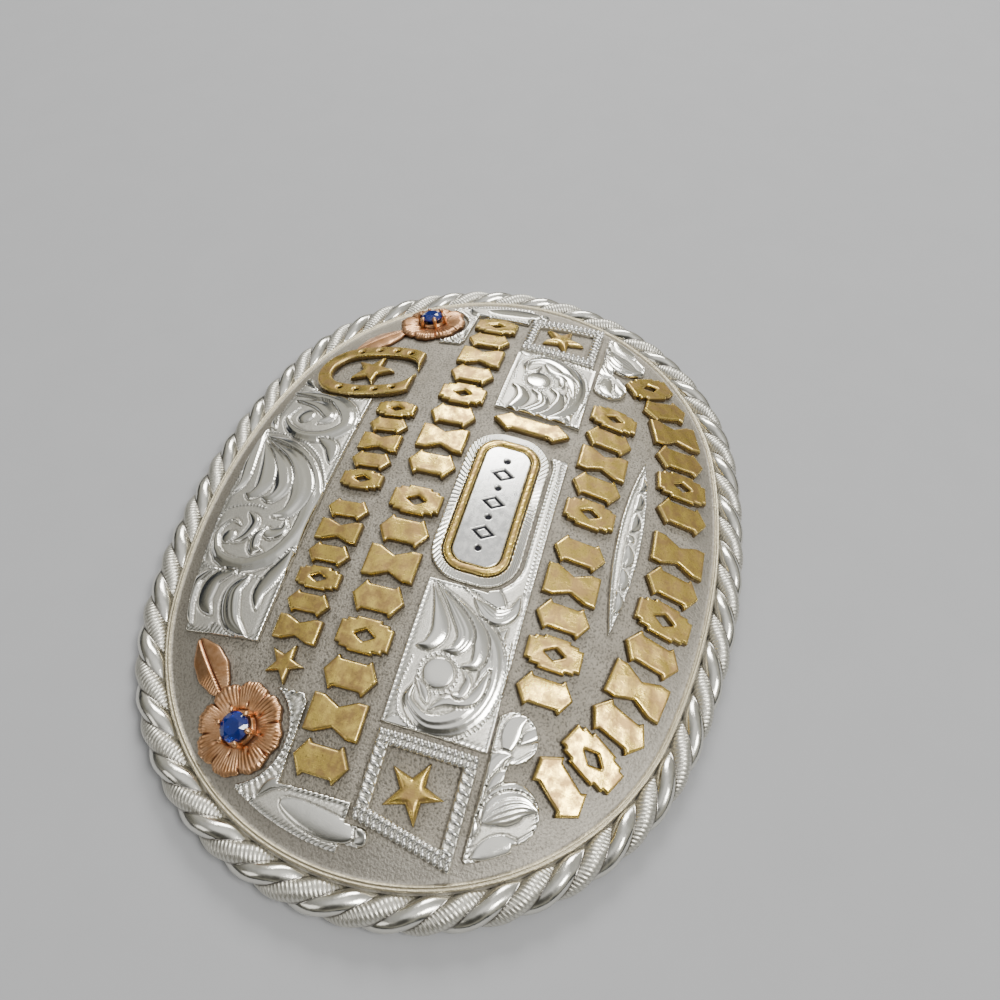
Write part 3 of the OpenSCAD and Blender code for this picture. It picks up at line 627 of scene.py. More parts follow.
def smooth_path(points, count=30):
    """A smooth curve through the points."""
    p = np.array(points, float)
    p = np.vstack([2 * p[0] - p[1], p, 2 * p[-1] - p[-2]])
    pieces = []
    for i in range(len(points) - 1):
        t = np.linspace(0, 1, max(3, count // (len(points) - 1)), endpoint=False)[:, None]
        a, b, c, d = p[i:i + 4]
        bend, twist = 2 * a - 5 * b + 4 * c - d, 3 * b - a - 3 * c + d
        pieces.append(0.5 * (2 * b + (c - a) * t + bend * t ** 2 + twist * t ** 3))
    return np.vstack(pieces + [p[-2:-1]])


def ripple(turns):
    """A wave between 0 and 1, once for each turn."""
    return 0.5 - 0.5 * np.cos(2 * math.pi * turns)


def along(path, x, y):
    """Distance to a path, side of it, length along it and its whole length."""
    seg = np.diff(path, axis=0)
    size = np.hypot(seg[:, 0], seg[:, 1])
    start = np.concatenate([[0], np.cumsum(size)])
    best, where, side = np.full(x.shape, 1e9), np.zeros(x.shape), np.zeros(x.shape)
    for (px, py), (sx, sy), l, s0 in zip(path, seg, size, start):
        f = np.clip(((x - px) * sx + (y - py) * sy) / (l * l), 0, 1)
        dx, dy = x - px - f * sx, y - py - f * sy
        d = np.hypot(dx, dy)
        near = d < best
        best, where = np.where(near, d, best), np.where(near, s0 + f * l, where)
        side = np.where(near, np.sign(sx * dy - sy * dx), side)
    return best, side, where, start[-1]


class Field:
    """The engraved top of a silver field, cut stroke by stroke; places are measured on the face."""

    def __init__(self, x, y, d, mirror=1):
        self.u = mirror * x * (1 + (bend_x * x) ** 2 / 6)
        self.v = y * (1 + (bend_y * y) ** 2 / 6)
        self.d = d
        self.h = np.full(x.shape, sheet_top - ground_sink)
        self.polish = np.zeros(x.shape)

    def leaf(self, points, width, late=1.5, rise=leaf_h, tilt=0.35, ribs=0, blunt=0.75):
        """A leaf along a path: thin at its start, widest late, round at its end."""
        d, side, s, length = along(smooth_path(points), self.u, self.v)
        t = np.clip(s / length, 0, 1)
        w = width / 2 * np.maximum(np.sin(math.pi * t ** late), 0) ** blunt + 0.05
        q = np.clip(d / w, 0, 1.6)
        swell = np.sqrt(np.maximum(1 - q * q, 0))
        top = sheet_top - leaf_sink + rise * (0.25 + 0.75 * swell) * (1 + tilt * side * q)
        if ribs:
            top = top - 0.05 * ripple(ribs * (0.5 + 0.5 * side * q)) * np.clip(4 * t, 0, 1)
        self.raise_up(d, w, q < 1, top)

    def raise_up(self, d, w, inside, top):
        """Lifts what lies inside and cuts a moat round it."""
        moat = (d >= w) & (d < w + moat_w)
        self.h = np.where(moat, np.minimum(self.h, sheet_top - moat_depth), self.h)
        self.h = np.where(inside, top, self.h)
        self.polish = np.where(inside, 1.0, self.polish)

    def boss(self, cu, cv, r, rise=leaf_h, beads=0):
        """A round knob, with a ring of beads where their number is given."""
        d = np.hypot(self.u - cu, self.v - cv)
        dome = sheet_top - 0.1 + rise * np.sqrt(np.maximum(1 - (0.8 * d / r) ** 2, 0))
        self.raise_up(d, r, d < r, dome)
        if beads:
            a = np.arctan2(self.v - cv, self.u - cu)
            ring_r = r + 0.45
            pitch = 2 * math.pi * ring_r / beads
            ds = ((a / (2 * math.pi) * beads) % 1 - 0.5) * pitch
            self.bead_shape(d - ring_r, ds, 0.45 * pitch)

    def bead_shape(self, across, ds, r):
        lift = 1 - (across / r) ** 2 - (ds / r) ** 2
        bead = sheet_top - leaf_sink + 0.9 * r * np.sqrt(np.maximum(lift, 0))
        self.h = np.where(lift > 0, np.maximum(self.h, bead), self.h)
        self.polish = np.where(lift > 0, 1.0, self.polish)

    def beads(self, points, pitch=0.55):
        """A line of beads."""
        d, _, s, _ = along(smooth_path(points, 40), self.u, self.v)
        self.bead_shape(d, (s / pitch % 1 - 0.5) * pitch, 0.46 * pitch)

    def cuts(self, points, width, pitch, depth):
        """Short cuts across a path, side by side, as a zip."""
        d, _, s, _ = along(smooth_path(points, 40), self.u, self.v)
        wave = ripple(s / pitch)
        fade = np.clip(1.6 * (1 - (2 * d / width) ** 2), 0, 1)
        self.h = np.where(d < width / 2, self.h - depth * wave * fade, self.h)
        self.polish = np.where(d < width / 2, 0.8, self.polish)

    def plane(self, points, width):
        """A flat polished area inside a path's reach, as a bare leaf."""
        self.leaf(points, width, late=1.0, rise=0.12, tilt=0.0, blunt=0.5)

    def rim(self, pitch=0.6, round_r=0.32):
        """A line of wriggle cuts just inside the edge, and the rounded edge itself."""
        near = np.exp(-0.5 * ((self.d + 0.5) / 0.2) ** 2) * (1 - self.polish)
        edge = rounded(self.d, sheet_top + leaf_h, round_r) - leaf_h * np.clip(1 + self.d / round_r, 0, 1)
        self.h = np.minimum(self.h - 0.15 * near * ripple((self.u + self.v) / pitch), edge)
        self.polish = np.maximum(self.polish, np.clip(1.6 + 2 * self.d, 0, 1))
        return self.h, {"polish": self.polish}


def box_distance(left, right, low, high):
    """Signed distance to a box, as a function."""
    cx, cy, hx, hy = (left + right) / 2, (low + high) / 2, (right - left) / 2, (high - low) / 2

    def distance(x, y):
        ax, ay = np.abs(x - cx) - hx, np.abs(y - cy) - hy
        return np.minimum(np.maximum(ax, ay), 0) + np.hypot(np.maximum(ax, 0), np.maximum(ay, 0))
    return distance


def oval_distance(x, y, grow):
    """Signed distance to the plate's oval grown by grow."""
    ax, ay = np.abs(x), np.abs(y)
    end = ay * end_c < (ax - end_c) * side_c
    return np.where(end, np.hypot(ax - end_c, ay) - end_r, np.hypot(ax, ay + side_c) - side_r) - grow


plaque_x, plaque_y, plaque_len, plaque_h = fx(0.015), fy(0.12), 20.4, 8.2
plaque_corner_r, plaque_rim_w, border_w = 3, 1.0, 1.4


def plaque_distance(x, y, grow=0.0):
    """Signed distance to the plaque's rounded box grown by grow."""
    hx, hy, r = plaque_len / 2 + grow, plaque_h / 2 + grow, plaque_corner_r + grow
    ax, ay = np.abs(x - plaque_x) - hx + r, np.abs(y - plaque_y) - hy + r
    return np.minimum(np.maximum(ax, ay), 0) + np.hypot(np.maximum(ax, 0), np.maximum(ay, 0)) - r


def silver_field(name, node, outline, height, box, pitch=0.105):
    made = build(name, [relief(outline, height, on_face, box, pitch)], [scroll_silver.material])
    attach(made, "root")
    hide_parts(node)


def centre_scroll(x, y, d, mirror):
    cut = Field(x, y, d, mirror)
    cut.plane([(12.4, 4.6), (12.6, 7.0), (15.0, 9.4)], 2.2)
    cut.leaf([(11.9, 10.6), (14.2, 10.2), (15.4, 8.4), (13.9, 5.6)], 2.0, 1.2, ribs=5)
    cut.leaf([(16.2, 10.2), (17.6, 9.6), (18.4, 10.4)], 1.2, 1.2)
    cut.leaf([(15.2, 4.2), (18.4, 8.8), (23.2, 9.9), (27.4, 8.2), (29.0, 4.6), (27.2, 1.8), (24.9, 2.0)],
             2.9, 0.9, tilt=-0.45, ribs=3)
    cut.leaf([(21.6, 9.6), (25.0, 8.6), (26.2, 5.6), (27.6, 4.2)], 1.3, 1.0, rise=0.3, tilt=0.4)
    cut.leaf([(13.2, 1.0), (15.6, 5.0), (18.4, 7.6), (21.2, 7.9), (22.2, 6.2)], 1.7, 1.7, tilt=-0.45)
    cut.leaf([(13.2, 0.9), (15.6, 3.6), (18.2, 5.8), (20.2, 5.4), (20.9, 3.8)], 1.9, 1.6, tilt=-0.45, ribs=3)
    cut.leaf([(13.4, 0.5), (16.2, 2.0), (18.8, 2.9), (20.6, 2.2), (21.1, 0.9)], 1.9, 1.6, tilt=-0.45)
    cut.leaf([(22.3, 6.7), (23.4, 7.6), (25.0, 7.2), (25.2, 6.2)], 1.0, 1.2, rise=0.3)
    cut.boss(23.4, 4.2, 1.75, 0.42, beads=24)
    cut.leaf([(24.6, 1.9), (25.6, 3.1), (27.0, 3.9)], 1.0, 1.2, rise=0.3)
    cut.plane([(30.4, 3.4), (29.9, 1.4), (31.0, -0.2)], 1.9)
    cut.beads([(12.6, 3.8), (15.4, 8.0), (19.0, 10.9), (23.6, 11.4), (27.6, 10.2), (30.0, 7.4), (30.2, 4.6),
               (28.8, 1.4), (26.2, 0.6), (22.4, 0.9)], 0.5)
    cut.beads([(17.6, 11.0), (20.8, 11.2)], 0.5)
    cut.cuts([(-8.8, 11.2), (0, 11.3), (11.4, 11.2)], 0.9, 0.55, 0.10)
    return cut.rim()


centre_low, centre_high, centre_near, centre_far = fy(-0.01), fy(0.346), fx(-0.2), fx(0.658)


def right_centre_outline(x, y):
    field = np.minimum(box_distance(fx(0.28), centre_far, centre_low, centre_high)(x, y),
                       box_distance(centre_near, fx(0.3), fy(0.2), centre_high)(x, y))
    return np.maximum(field, -plaque_distance(x, y, border_w + side_gap))


silver_field("right_centre_scroll", "centre_scroll_right", right_centre_outline,
             lambda x, y, d: centre_scroll(x, y, d, 1), (centre_near, centre_far, centre_low, centre_high))
left_centre_box = (-centre_far, fx(-0.35), centre_low, centre_high)
silver_field("left_centre_scroll", "centre_scroll_left", box_distance(*left_centre_box),
             lambda x, y, d: centre_scroll(x, y, d, -1), left_centre_box)


def upper_scroll(x, y, d, mirror):
    cut = Field(x, y, d, mirror)
    cut.leaf([(24.6, 16.0), (25.6, 16.9), (27.4, 15.2), (28.2, 14.6)], 1.5, 1.0)
    cut.leaf([(24.9, 15.0), (26.2, 13.9), (28.6, 13.6), (29.6, 13.2)], 2.0, 1.0, rise=0.2, tilt=0.5)
    cut.leaf([(24.6, 12.7), (26.4, 11.4), (28.8, 10.6)], 1.1, 1.0)
    cut.leaf([(29.2, 14.2), (30.2, 13.0), (33.0, 11.9), (36.6, 12.0)], 2.0, 0.8, tilt=0.45, ribs=3)
    cut.leaf([(30.9, 15.4), (31.6, 13.9), (33.6, 12.6)], 1.2, 1.0)
    cut.leaf([(32.7, 19.0), (32.4, 16.4), (33.8, 13.8), (36.6, 12.5)], 1.6, 0.9, ribs=2, tilt=0.4)
    cut.leaf([(33.8, 18.6), (33.9, 16.6), (35.2, 14.4), (36.8, 13.0)], 3.3, 1.1, ribs=6, tilt=-0.2)
    cut.leaf([(33.0, 19.6), (34.8, 20.2), (35.7, 18.6)], 1.3, 1.0)
    cut.leaf([(37.2, 17.0), (38.6, 15.0), (40.2, 12.8)], 2.2, 0.9, rise=0.3, tilt=0.5)
    cut.boss(37.5, 11.9, 1.0, 0.4)
    cut.beads([(40.9, 14.4), (41.6, 12.6)], 0.5)
    cut.beads([(25.0, 10.9), (28.2, 9.9), (31.2, 9.9)], 0.5)
    return cut.rim()


upper_low = fy(0.354)
upper_leaves = ((0.603, 0.415, 0.06), (0.761, 0.465, 0.0666), (0.84, 0.41, 0.062))


def upper_outline(mirror):
    def outline(x, y):
        px = mirror * x
        leaves = [np.hypot(px - fx(cx), y - fy(cy)) - fx(r) for cx, cy, r in upper_leaves]
        leaves += [box_distance(fx(0.575), fx(0.86), upper_low, fy(0.42))(px, y)]
        return np.maximum.reduce([np.minimum.reduce(leaves), oval_distance(x, y, -2.2), upper_low - y])
    return outline


def mirrored(side, near, far, low, high):
    """A box at one end of the plate, given for the right end."""
    return min(side * near, side * far), max(side * near, side * far), low, high


for side, word in both_ends:
    silver_field(word + "_upper_scroll", "upper_scroll_" + word, upper_outline(side),
                 lambda x, y, d, m=side: upper_scroll(x, y, d, m),
                 mirrored(side, fx(0.54), fx(0.92), fy(0.34), fy(0.7)))

# Long field under the small row: one large C scroll, leaves on both sides of it.
bottom_right, bottom_high = end_c + 0.36 * end_r, fy(-0.512)


def bottom_top(x, y, d):
    cut = Field(x, y, d)
    cut.leaf([(-5.0, -30.6), (-3.4, -26.0), (0.4, -21.4), (5.0, -18.7), (9.8, -18.1), (13.8, -19.8),
              (15.8, -23.6), (14.8, -28.0), (11.6, -30.0), (9.4, -28.6), (10.2, -26.8)],
             2.5, 0.8, tilt=-0.4, ribs=2)
    cut.leaf([(-4.2, -29.6), (-0.8, -24.0), (4.0, -20.6), (7.6, -20.8), (8.6, -23.0)],
             3.0, 1.5, tilt=-0.45, ribs=2)
    cut.leaf([(-4.0, -30.0), (0.0, -25.8), (3.6, -23.6), (5.8, -24.2), (6.0, -25.8)],
             2.5, 1.5, tilt=-0.45, ribs=3)
    cut.leaf([(-4.2, -30.4), (0.4, -27.6), (3.8, -26.6), (5.5, -27.6), (5.4, -28.8)], 2.5, 1.5, tilt=-0.45)
    cut.leaf([(-7.4, -31.6), (-1.6, -31.2), (3.2, -30.2), (5.4, -30.8)], 1.7, 1.3, tilt=-0.4)
    cut.leaf([(8.8, -20.6), (10.4, -20.5), (11.1, -22.0), (10.1, -23.2)], 1.7, 1.2)
    cut.leaf([(10.1, -22.6), (11.6, -23.8), (13.4, -23.4), (13.6, -22.0)], 1.6, 1.2, ribs=3)
    cut.leaf([(8.2, -26.6), (9.6, -25.0), (11.6, -25.4), (12.8, -27.0)], 1.6, 1.1)
    cut.boss(11.9, -27.9, 1.0, 0.35)
    cut.leaf([(12.8, -17.9), (15.4, -18.5), (18.8, -19.8), (21.2, -19.3)], 2.1, 1.0, rise=0.28)
    cut.leaf([(16.9, -21.8), (19.4, -23.4), (22.8, -22.0), (24.6, -19.0)], 2.5, 0.9, tilt=0.45, ribs=4)
    cut.leaf([(16.6, -24.2), (18.0, -26.8), (20.8, -26.8), (22.6, -25.0)], 2.3, 1.0, rise=0.26)
    cut.leaf([(16.4, -27.4), (18.4, -29.4), (21.4, -29.0), (24.0, -27.2)], 1.7, 0.9, tilt=0.4)
    cut.leaf([(-17.2, -30.6), (-16.2, -27.2), (-13.6, -23.4)], 1.9, 0.9, tilt=0.4, ribs=2)
    cut.leaf([(-14.2, -30.8), (-13.6, -26.0), (-11.4, -21.0), (-7.8, -18.9), (-5.2, -21.4), (-5.4, -25.8),
              (-8.4, -29.2), (-10.8, -28.0)], 2.4, 0.8, tilt=-0.4, ribs=2)
    cut.leaf([(-12.4, -29.4), (-11.4, -24.8), (-9.0, -22.2), (-7.5, -23.6)], 2.1, 1.4, tilt=-0.4, ribs=2)
    cut.leaf([(-12.8, -31.4), (-9.2, -31.9), (-6.4, -30.0)], 1.5, 1.0)
    cut.boss(-9.0, -26.1, 1.25, 0.38)
    cut.leaf([(-4.6, -22.0), (-3.4, -19.6), (-0.4, -18.5)], 1.8, 1.0, rise=0.25)
    cut.beads([(-6.0, -31.0), (-4.8, -25.6), (-1.4, -20.6), (3.6, -17.3)], 0.55)
    cut.beads([(17.1, -20.0), (16.9, -25.0), (15.8, -29.6), (12.4, -31.4), (8.0, -30.6), (7.0, -27.2),
               (7.4, -24.5)], 0.55)
    cut.cuts([(25.4, -17.6), (24.8, -20.8), (23.8, -24.2)], 1.0, 0.5, 0.12)
    return cut.rim()


def bottom_outline(x, y):
    box = box_distance(shoe_x + 0.38 * shoe_half_w, bottom_right, -40, bottom_high)
    field = np.maximum(box(x, y), oval_distance(x, y, -2.8))
    return np.maximum(field, side_gap - shoe_distance(x - shoe_x, y - shoe_y))


silver_field("bottom_scroll_field", "bottom_scroll", bottom_outline, bottom_top,
             (shoe_x, bottom_right, -half_wid, bottom_high), 0.12)

# Narrow lens between the arched row and the middle row, with leaves along its middle.
lens_x, lens_y, lens_len, lens_h = fx(-0.02), fy(0.638), fx(0.6), fy(0.094)
lens_r = (lens_len ** 2 / 4 + lens_h ** 2 / 4) / lens_h


def lens_outline(x, y):
    return np.maximum(np.hypot(x - lens_x, y - lens_y - lens_r + lens_h / 2),
                      np.hypot(x - lens_x, y - lens_y + lens_r - lens_h / 2)) - lens_r


def lens_top(x, y, d):
    cut = Field(x, y, d)
    height = lens_y * (1 + (bend_y * lens_y) ** 2 / 6)
    for side in (-1, 1):
        for start, stop, width in ((0.9, 4.3, 1.3), (4.4, 7.6, 1.15), (7.7, 10.6, 0.9)):
            middle = lens_x + side * (start + stop) / 2
            cut.leaf([(lens_x + side * start, height - 0.25), (middle, height + 0.35),
                      (lens_x + side * stop, height)], width, 1.1, rise=0.28, ribs=2)
    cut.boss(lens_x, height, 0.6, 0.3)
    return cut.rim()


silver_field("silver_lens", "silver_strip", lens_outline, lens_top,
             (fx(-0.33), fx(0.29), fy(0.58), fy(0.7)))

# Small silver piece at each end: a polished bar, and a fan of radial cuts over the flower.
fan_low = flower_r + side_gap
fan_high, fan_top, fan_cuts = fan_low + 2.1, fy(-0.262), 62


def side_outline(mirror):
    def outline(x, y):
        px = mirror * x
        bar = np.minimum.reduce([box_distance(fx(0.842), fx(1.1), fy(-0.335), fy(-0.02))(px, y),
                                 box_distance(fx(0.885), fx(0.929), fy(-0.1), fy(0.035))(px, y),
                                 np.hypot(px - fx(0.907), y - fy(0.035)) - fx(0.022)])
        r = np.hypot(px - flower_x, y - flower_y)
        fan = np.maximum.reduce([r - fan_high, fan_low - r, fy(-0.4) - y, y - fan_top, fx(0.64) - px])
        return np.maximum(np.minimum(bar, fan), oval_distance(x, y, -2.2))
    return outline


def side_top(x, y, d, mirror):
    cut = Field(x, y, d, mirror)
    r, a = np.hypot(mirror * x - flower_x, y - flower_y), np.arctan2(y - flower_y, mirror * x - flower_x)
    fan = (r > fan_low + 0.15) & (r < fan_high - 0.1) & (y < fan_top + 0.6)
    cut.h = np.where(fan, cut.h - 0.15 * ripple(fan_cuts * a / (2 * math.pi)), cut.h)
    cut.leaf([(41.7, 0.6), (41.6, -2.0), (41.2, -4.6), (40.4, -8.0)], 2.6, 0.8, rise=0.2, tilt=0.5, blunt=0.4)
    cut.leaf([(41.0, 0.6), (41.6, 1.5), (42.3, 0.8)], 1.5, 1.0, rise=0.3)
    cut.leaf([(38.6, -7.0), (39.0, -9.4), (40.6, -10.8)], 1.1, 1.0, rise=0.25)
    return cut.rim()


for side, word in both_ends:
    silver_field(word + "_side_piece", "side_scroll_" + word, side_outline(side),
                 lambda x, y, d, m=side: side_top(x, y, d, m),
                 mirrored(side, fx(0.6), fx(0.97), fy(-0.42), fy(0.06)), 0.1)

# ---------------------------------------------------------------- tooled end frames
# Silver frames, one round each end star, the outer side slanting with the oval. Two columns of
# little beads are raised along the sides with a bead tool, slanting ones along top and bottom.
frame_w = 1.5
mat = bead_silver = Finish("beaded_silver")
worn = mat.noise(0.5, 3, 0.6)
mat.set("Base Color", mat.mix(mat.span(worn, 0.35, 0.6), (0.66, 0.65, 0.61), (0.87, 0.86, 0.83)))
mat.set("Roughness", mat.span(worn, 0.3, 0.7, 0.32, 0.16))
mat.set("Normal", mat.bump(worn, 0.04, 0.4))

bead_tree = bpy.data.node_groups.new("beads_along_a_line", "GeometryNodeTree")
for label, kind in (("Line", "Geometry"), ("Pitch", "Float"), ("Bead size", "Vector"), ("Slant", "Float")):
    bead_tree.interface.new_socket(label, in_out="INPUT", socket_type="NodeSocket" + kind)
bead_tree.interface.new_socket("Beads", in_out="OUTPUT", socket_type="NodeSocketGeometry")
given = bead_tree.nodes.new("NodeGroupInput").outputs
bead_out = bead_tree.nodes.new("NodeGroupOutput")


def bead_node(result, kind, inputs=(), **settings):
    return wired(bead_tree, kind, inputs, **settings).outputs[result]


line = bead_node("Curve", "GeometryNodeMeshToCurve", {"Mesh": given["Line"]})
line = bead_node("Curve", "GeometryNodeResampleCurve", {"Curve": line, "Length": given["Pitch"]}, mode="LENGTH")
tangent = bead_node("Tangent", "GeometryNodeInputTangent")
lie_along = bead_node("Rotation", "FunctionNodeAlignRotationToVector", {"Vector": tangent}, axis="X")
lean = bead_node("Vector", "ShaderNodeCombineXYZ", {"Z": given["Slant"]})
lean = bead_node("Rotation", "FunctionNodeEulerToRotation", {"Euler": lean})
turned = bead_node("Rotation", "FunctionNodeRotateRotation", {"Rotation": lie_along, "Rotate By": lean},
                   rotation_space="LOCAL")
ball = bead_node("Mesh", "GeometryNodeMeshUVSphere", {"Segments": 12, "Rings": 8, "Radius": 0.5})
ball = bead_node("Geometry", "GeometryNodeSetShadeSmooth", {"Geometry": ball})
beads = bead_node("Instances", "GeometryNodeInstanceOnPoints", {
    "Points": line, "Instance": ball, "Rotation": turned, "Scale": given["Bead size"]})
beads = bead_node("Geometry", "GeometryNodeRealizeInstances", {"Geometry": beads})
beads = bead_node("Geometry", "GeometryNodeSetMaterial", {"Geometry": beads, "Material": bead_silver.material})
bead_tree.links.new(beads, bead_out.inputs["Beads"])


def bead_row(points, pitch, size, slant):
    """Beads along a line of points, as plain mesh data; sizes in millimetres."""
    mesh = bpy.data.meshes.new("bead_line")
    mesh.from_pydata((np.asarray(points) * 0.001).tolist(), [(i, i + 1) for i in range(len(points) - 1)], [])
    carrier = stand("bead_line", mesh)
    modifier = carrier.modifiers.new("beads", "NODES")
    modifier.node_group = bead_tree
    for item in bead_tree.interface.items_tree:
        if item.in_out == "INPUT" and item.name != "Line":
            modifier[item.identifier] = {"Pitch": pitch * 0.001, "Bead size": [c * 0.001 for c in size],
                                         "Slant": slant}[item.name]
    carrier.update_tag()
    solid = bpy.data.meshes.new_from_object(carrier.evaluated_get(bpy.context.evaluated_depsgraph_get()))
    bpy.data.objects.remove(carrier)
    bpy.data.meshes.remove(mesh)
    return solid


def join_meshes(name, meshes):
    """One object from several meshes."""
    parts = [stand(name, mesh) for mesh in meshes]
    with bpy.context.temp_override(active_object=parts[0], object=parts[0], selected_objects=parts,
                                   selected_editable_objects=parts):
        bpy.ops.object.join()
    return parts[0]


frame_x, frame_y, frame_half_w, frame_half_h = fx(0.795), fy(0.161), fx(0.125), fy(0.167)
frame_slant = fx(0.05)
frame_low, frame_high = frame_y - frame_half_h, frame_y + frame_half_h
frame_near, frame_far = frame_x - frame_half_w, frame_x + frame_half_w
frame_corners = [(frame_near, frame_low), (frame_far - frame_slant, frame_low), (frame_far, frame_high),
                 (frame_near, frame_high)]
# a bead's size, the pitch of its row, the row's inset from the frame's edge, and its lean
side_bead, side_pitch, side_insets, side_lean = (0.66, 1.08, 0.75), 0.72, (0.38, 1.12), 0.5
top_bead, top_pitch, top_inset, top_lean, top_end = (0.72, 1.62, 0.8), 0.9, 0.76, 0.35, 1.8


def frame_band(side):
    """Outline of an end frame's band; its outer side slants in towards the bottom."""
    outer = polygon(frame_corners)

    def outline(x, y):
        d = outer(side * x, y)
        return np.maximum(d, -d - frame_w)
    return outline


def frame_top(x, y, d):
    groove = np.exp(-0.5 * ((d + 0.75) / 0.3) ** 2)
    return rounded(d, sheet_top - 0.02, 0.2) - 0.18 * groove, {"polish": np.full(x.shape, 0.4)}


bead_h = sheet_top + 0.02
for side, word in both_ends:
    band = build("frame_band", [relief(frame_band(side), frame_top, on_face, mirrored(
        side, frame_near - 0.1, frame_far + 0.1, frame_low, frame_high), 0.13)], [scroll_silver.material])
    rows = []
    for edge in (-1, 1):
        for inset in side_insets:
            run = np.linspace(frame_low + 0.4, frame_high - 0.4, 24)
            leant = frame_slant * (frame_high - run) / (2 * frame_half_h) if edge > 0 else 0
            place = edge * (frame_half_w - inset) + frame_x - leant
            rows.append(bead_row(on_face(side * place, run, bead_h), side_pitch, side_bead,
                                 side_lean * side * (1 if inset < 1 else -1)))
        run = np.linspace(frame_near + top_end, frame_far - top_end - (edge < 0) * frame_slant, 24)
        line = on_face(side * run, np.full(24, frame_y + edge * (frame_half_h - top_inset)), bead_h)
        rows.append(bead_row(line, top_pitch, top_bead, -top_lean * side))
    rows.insert(0, band.data)
    bpy.data.objects.remove(band)
    tooled = join_meshes(word + "_frame", rows)
    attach(tooled, "root")
    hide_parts("end_frame_" + word)

# ---------------------------------------------------------------- plaque
# A plain silver plate with an engraved, blackened row of lozenges and dots, held in a
# brass rim. Round it lies a silver border, cut across with short close cuts.
border_cuts = 112


def border_top(x, y, d):
    wave = ripple(border_cuts * np.arctan2((y - plaque_y) * 2.2, x - plaque_x) / (2 * math.pi))
    return rounded(d, sheet_top, 0.22) - 0.13 * wave, {"polish": 0.6 + 0.4 * wave}


def border_outline(x, y):
    return np.maximum(plaque_distance(x, y, border_w), -plaque_distance(x, y, seat_gap))


border = build("tooled_border", [relief(border_outline, border_top, on_face, (-12, 13, -2, 10.5), 0.09)],
               [scroll_silver.material])
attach(border, "root")
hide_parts("plaque_border")


def plaque_rim(x, y):
    return np.maximum(plaque_distance(x, y), -plaque_distance(x, y, -plaque_rim_w))


def plaque_rim_top(x, y, d):
    notch = 0.5 + 0.5 * np.cos(0.9 * 2 * math.pi * (x + 0.7 * y))
    return rounded(d, brass_top, 0.45) - 0.05 * (notch > 0.93), {}


brass_piece("brass_rim", "plaque_rim", [relief(plaque_rim, plaque_rim_top, on_face, (-10, 11.5, -1, 9), 0.1)])

plaque_top = seat_gap + 0.7 * brass_t
mark_w, mark_pitch = 0.25 * plaque_h, plaque_len / 9


def marks(x, y):
    """Signed distance to the nearest engraved mark."""
    best = np.full(x.shape, 9.0)
    for i in range(-3, 4):
        px, py = x - plaque_x - i * mark_pitch, y - plaque_y
        if i % 2 == 0:
            lozenge = (np.abs(px) / (mark_w / 2) + np.abs(py) / (0.75 * mark_w) - 1) * 0.42 * mark_w
            best = np.minimum(best, np.maximum(lozenge, -lozenge - 0.36))
        else:
            best = np.minimum(best, np.hypot(px, py) - 0.2 * mark_w)
    return best


def plaque_face(x, y, d):
    mark = np.clip(0.5 - marks(x, y) / 0.12, 0, 1)
    return rounded(d, plaque_top, 0.12) - 0.2 * mark, {"mark": mark}


mat = plaque_silver = Finish("plaque_silver")
scuff = mat.noise(0.8, 4, 0.65)
lines = mat.noise(0.2, 2, 0.5, (0.08, 1, 1))
mark = mat.number("mark")
tone = mat.mix(mat.span(scuff, 0.3, 0.7), (0.76, 0.76, 0.74), (0.85, 0.84, 0.80))
mat.set("Base Color", mat.mix(mark, tone, (0.02, 0.02, 0.025)))
mat.set("Roughness", mat.math("ADD", mat.span(scuff, 0.3, 0.7, 0.2, 0.34), mat.math("MULTIPLY", mark, 0.3)))
mat.set("Normal", mat.bump(lines, 0.02, 0.4))
nameplate = build("engraved_plaque", [relief(lambda x, y: plaque_distance(x, y, -plaque_rim_w - seat_gap),
                                             plaque_face, on_face, (-10, 11, 0, 8), 0.09)],
                  [plaque_silver.material])
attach(nameplate, "root")
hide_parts("plaque")

# ---------------------------------------------------------------- copper flowers
# Two flowers cut from copper sheet, hammered into eight wavy petals and scored with fine
# flutes from the middle outwards. A collar with six prongs holds the stone; a folded leaf
# lies beside the flower.
petal_t, stone_r = 0.9, 1.7
girdle_z = petal_t + 0.6

mat = copper = Finish("fluted_copper")
blush = mat.noise(1.1, 4, 0.6)
tone = mat.mix(mat.span(blush, 0.35, 0.65), (0.50, 0.25, 0.11), (0.80, 0.47, 0.26))
# painted shade: recesses in the flutes and creases and the feet of the walls darkened
tone = mat.mix(mat.span(mat.number("painted_recess_shade"), 0.15, 0.9), tone, (0.16, 0.065, 0.035))
# painted highlight: a lighter band along every edge
tone = mat.mix(mat.math("MULTIPLY", mat.number("edge"), 0.5), tone, (0.78, 0.49, 0.28))
mat.set("Base Color", tone)
mat.set("Roughness", mat.span(blush, 0.3, 0.7, 0.40, 0.27))
mat.set("Normal", mat.bump(mat.noise(0.14, 3, 0.6), 0.02, 0.5))


def flower_reach(a):
    """How far the petals reach at an angle."""
    return flower_r * (0.9 + 0.1 * np.abs(np.cos(4 * a)) ** 0.7 + 0.012 * np.sin(23 * a))


def flower_outline(x, y):
    r, a = np.hypot(x, y), np.arctan2(y, x)
    return (r - flower_reach(a)) * 0.9


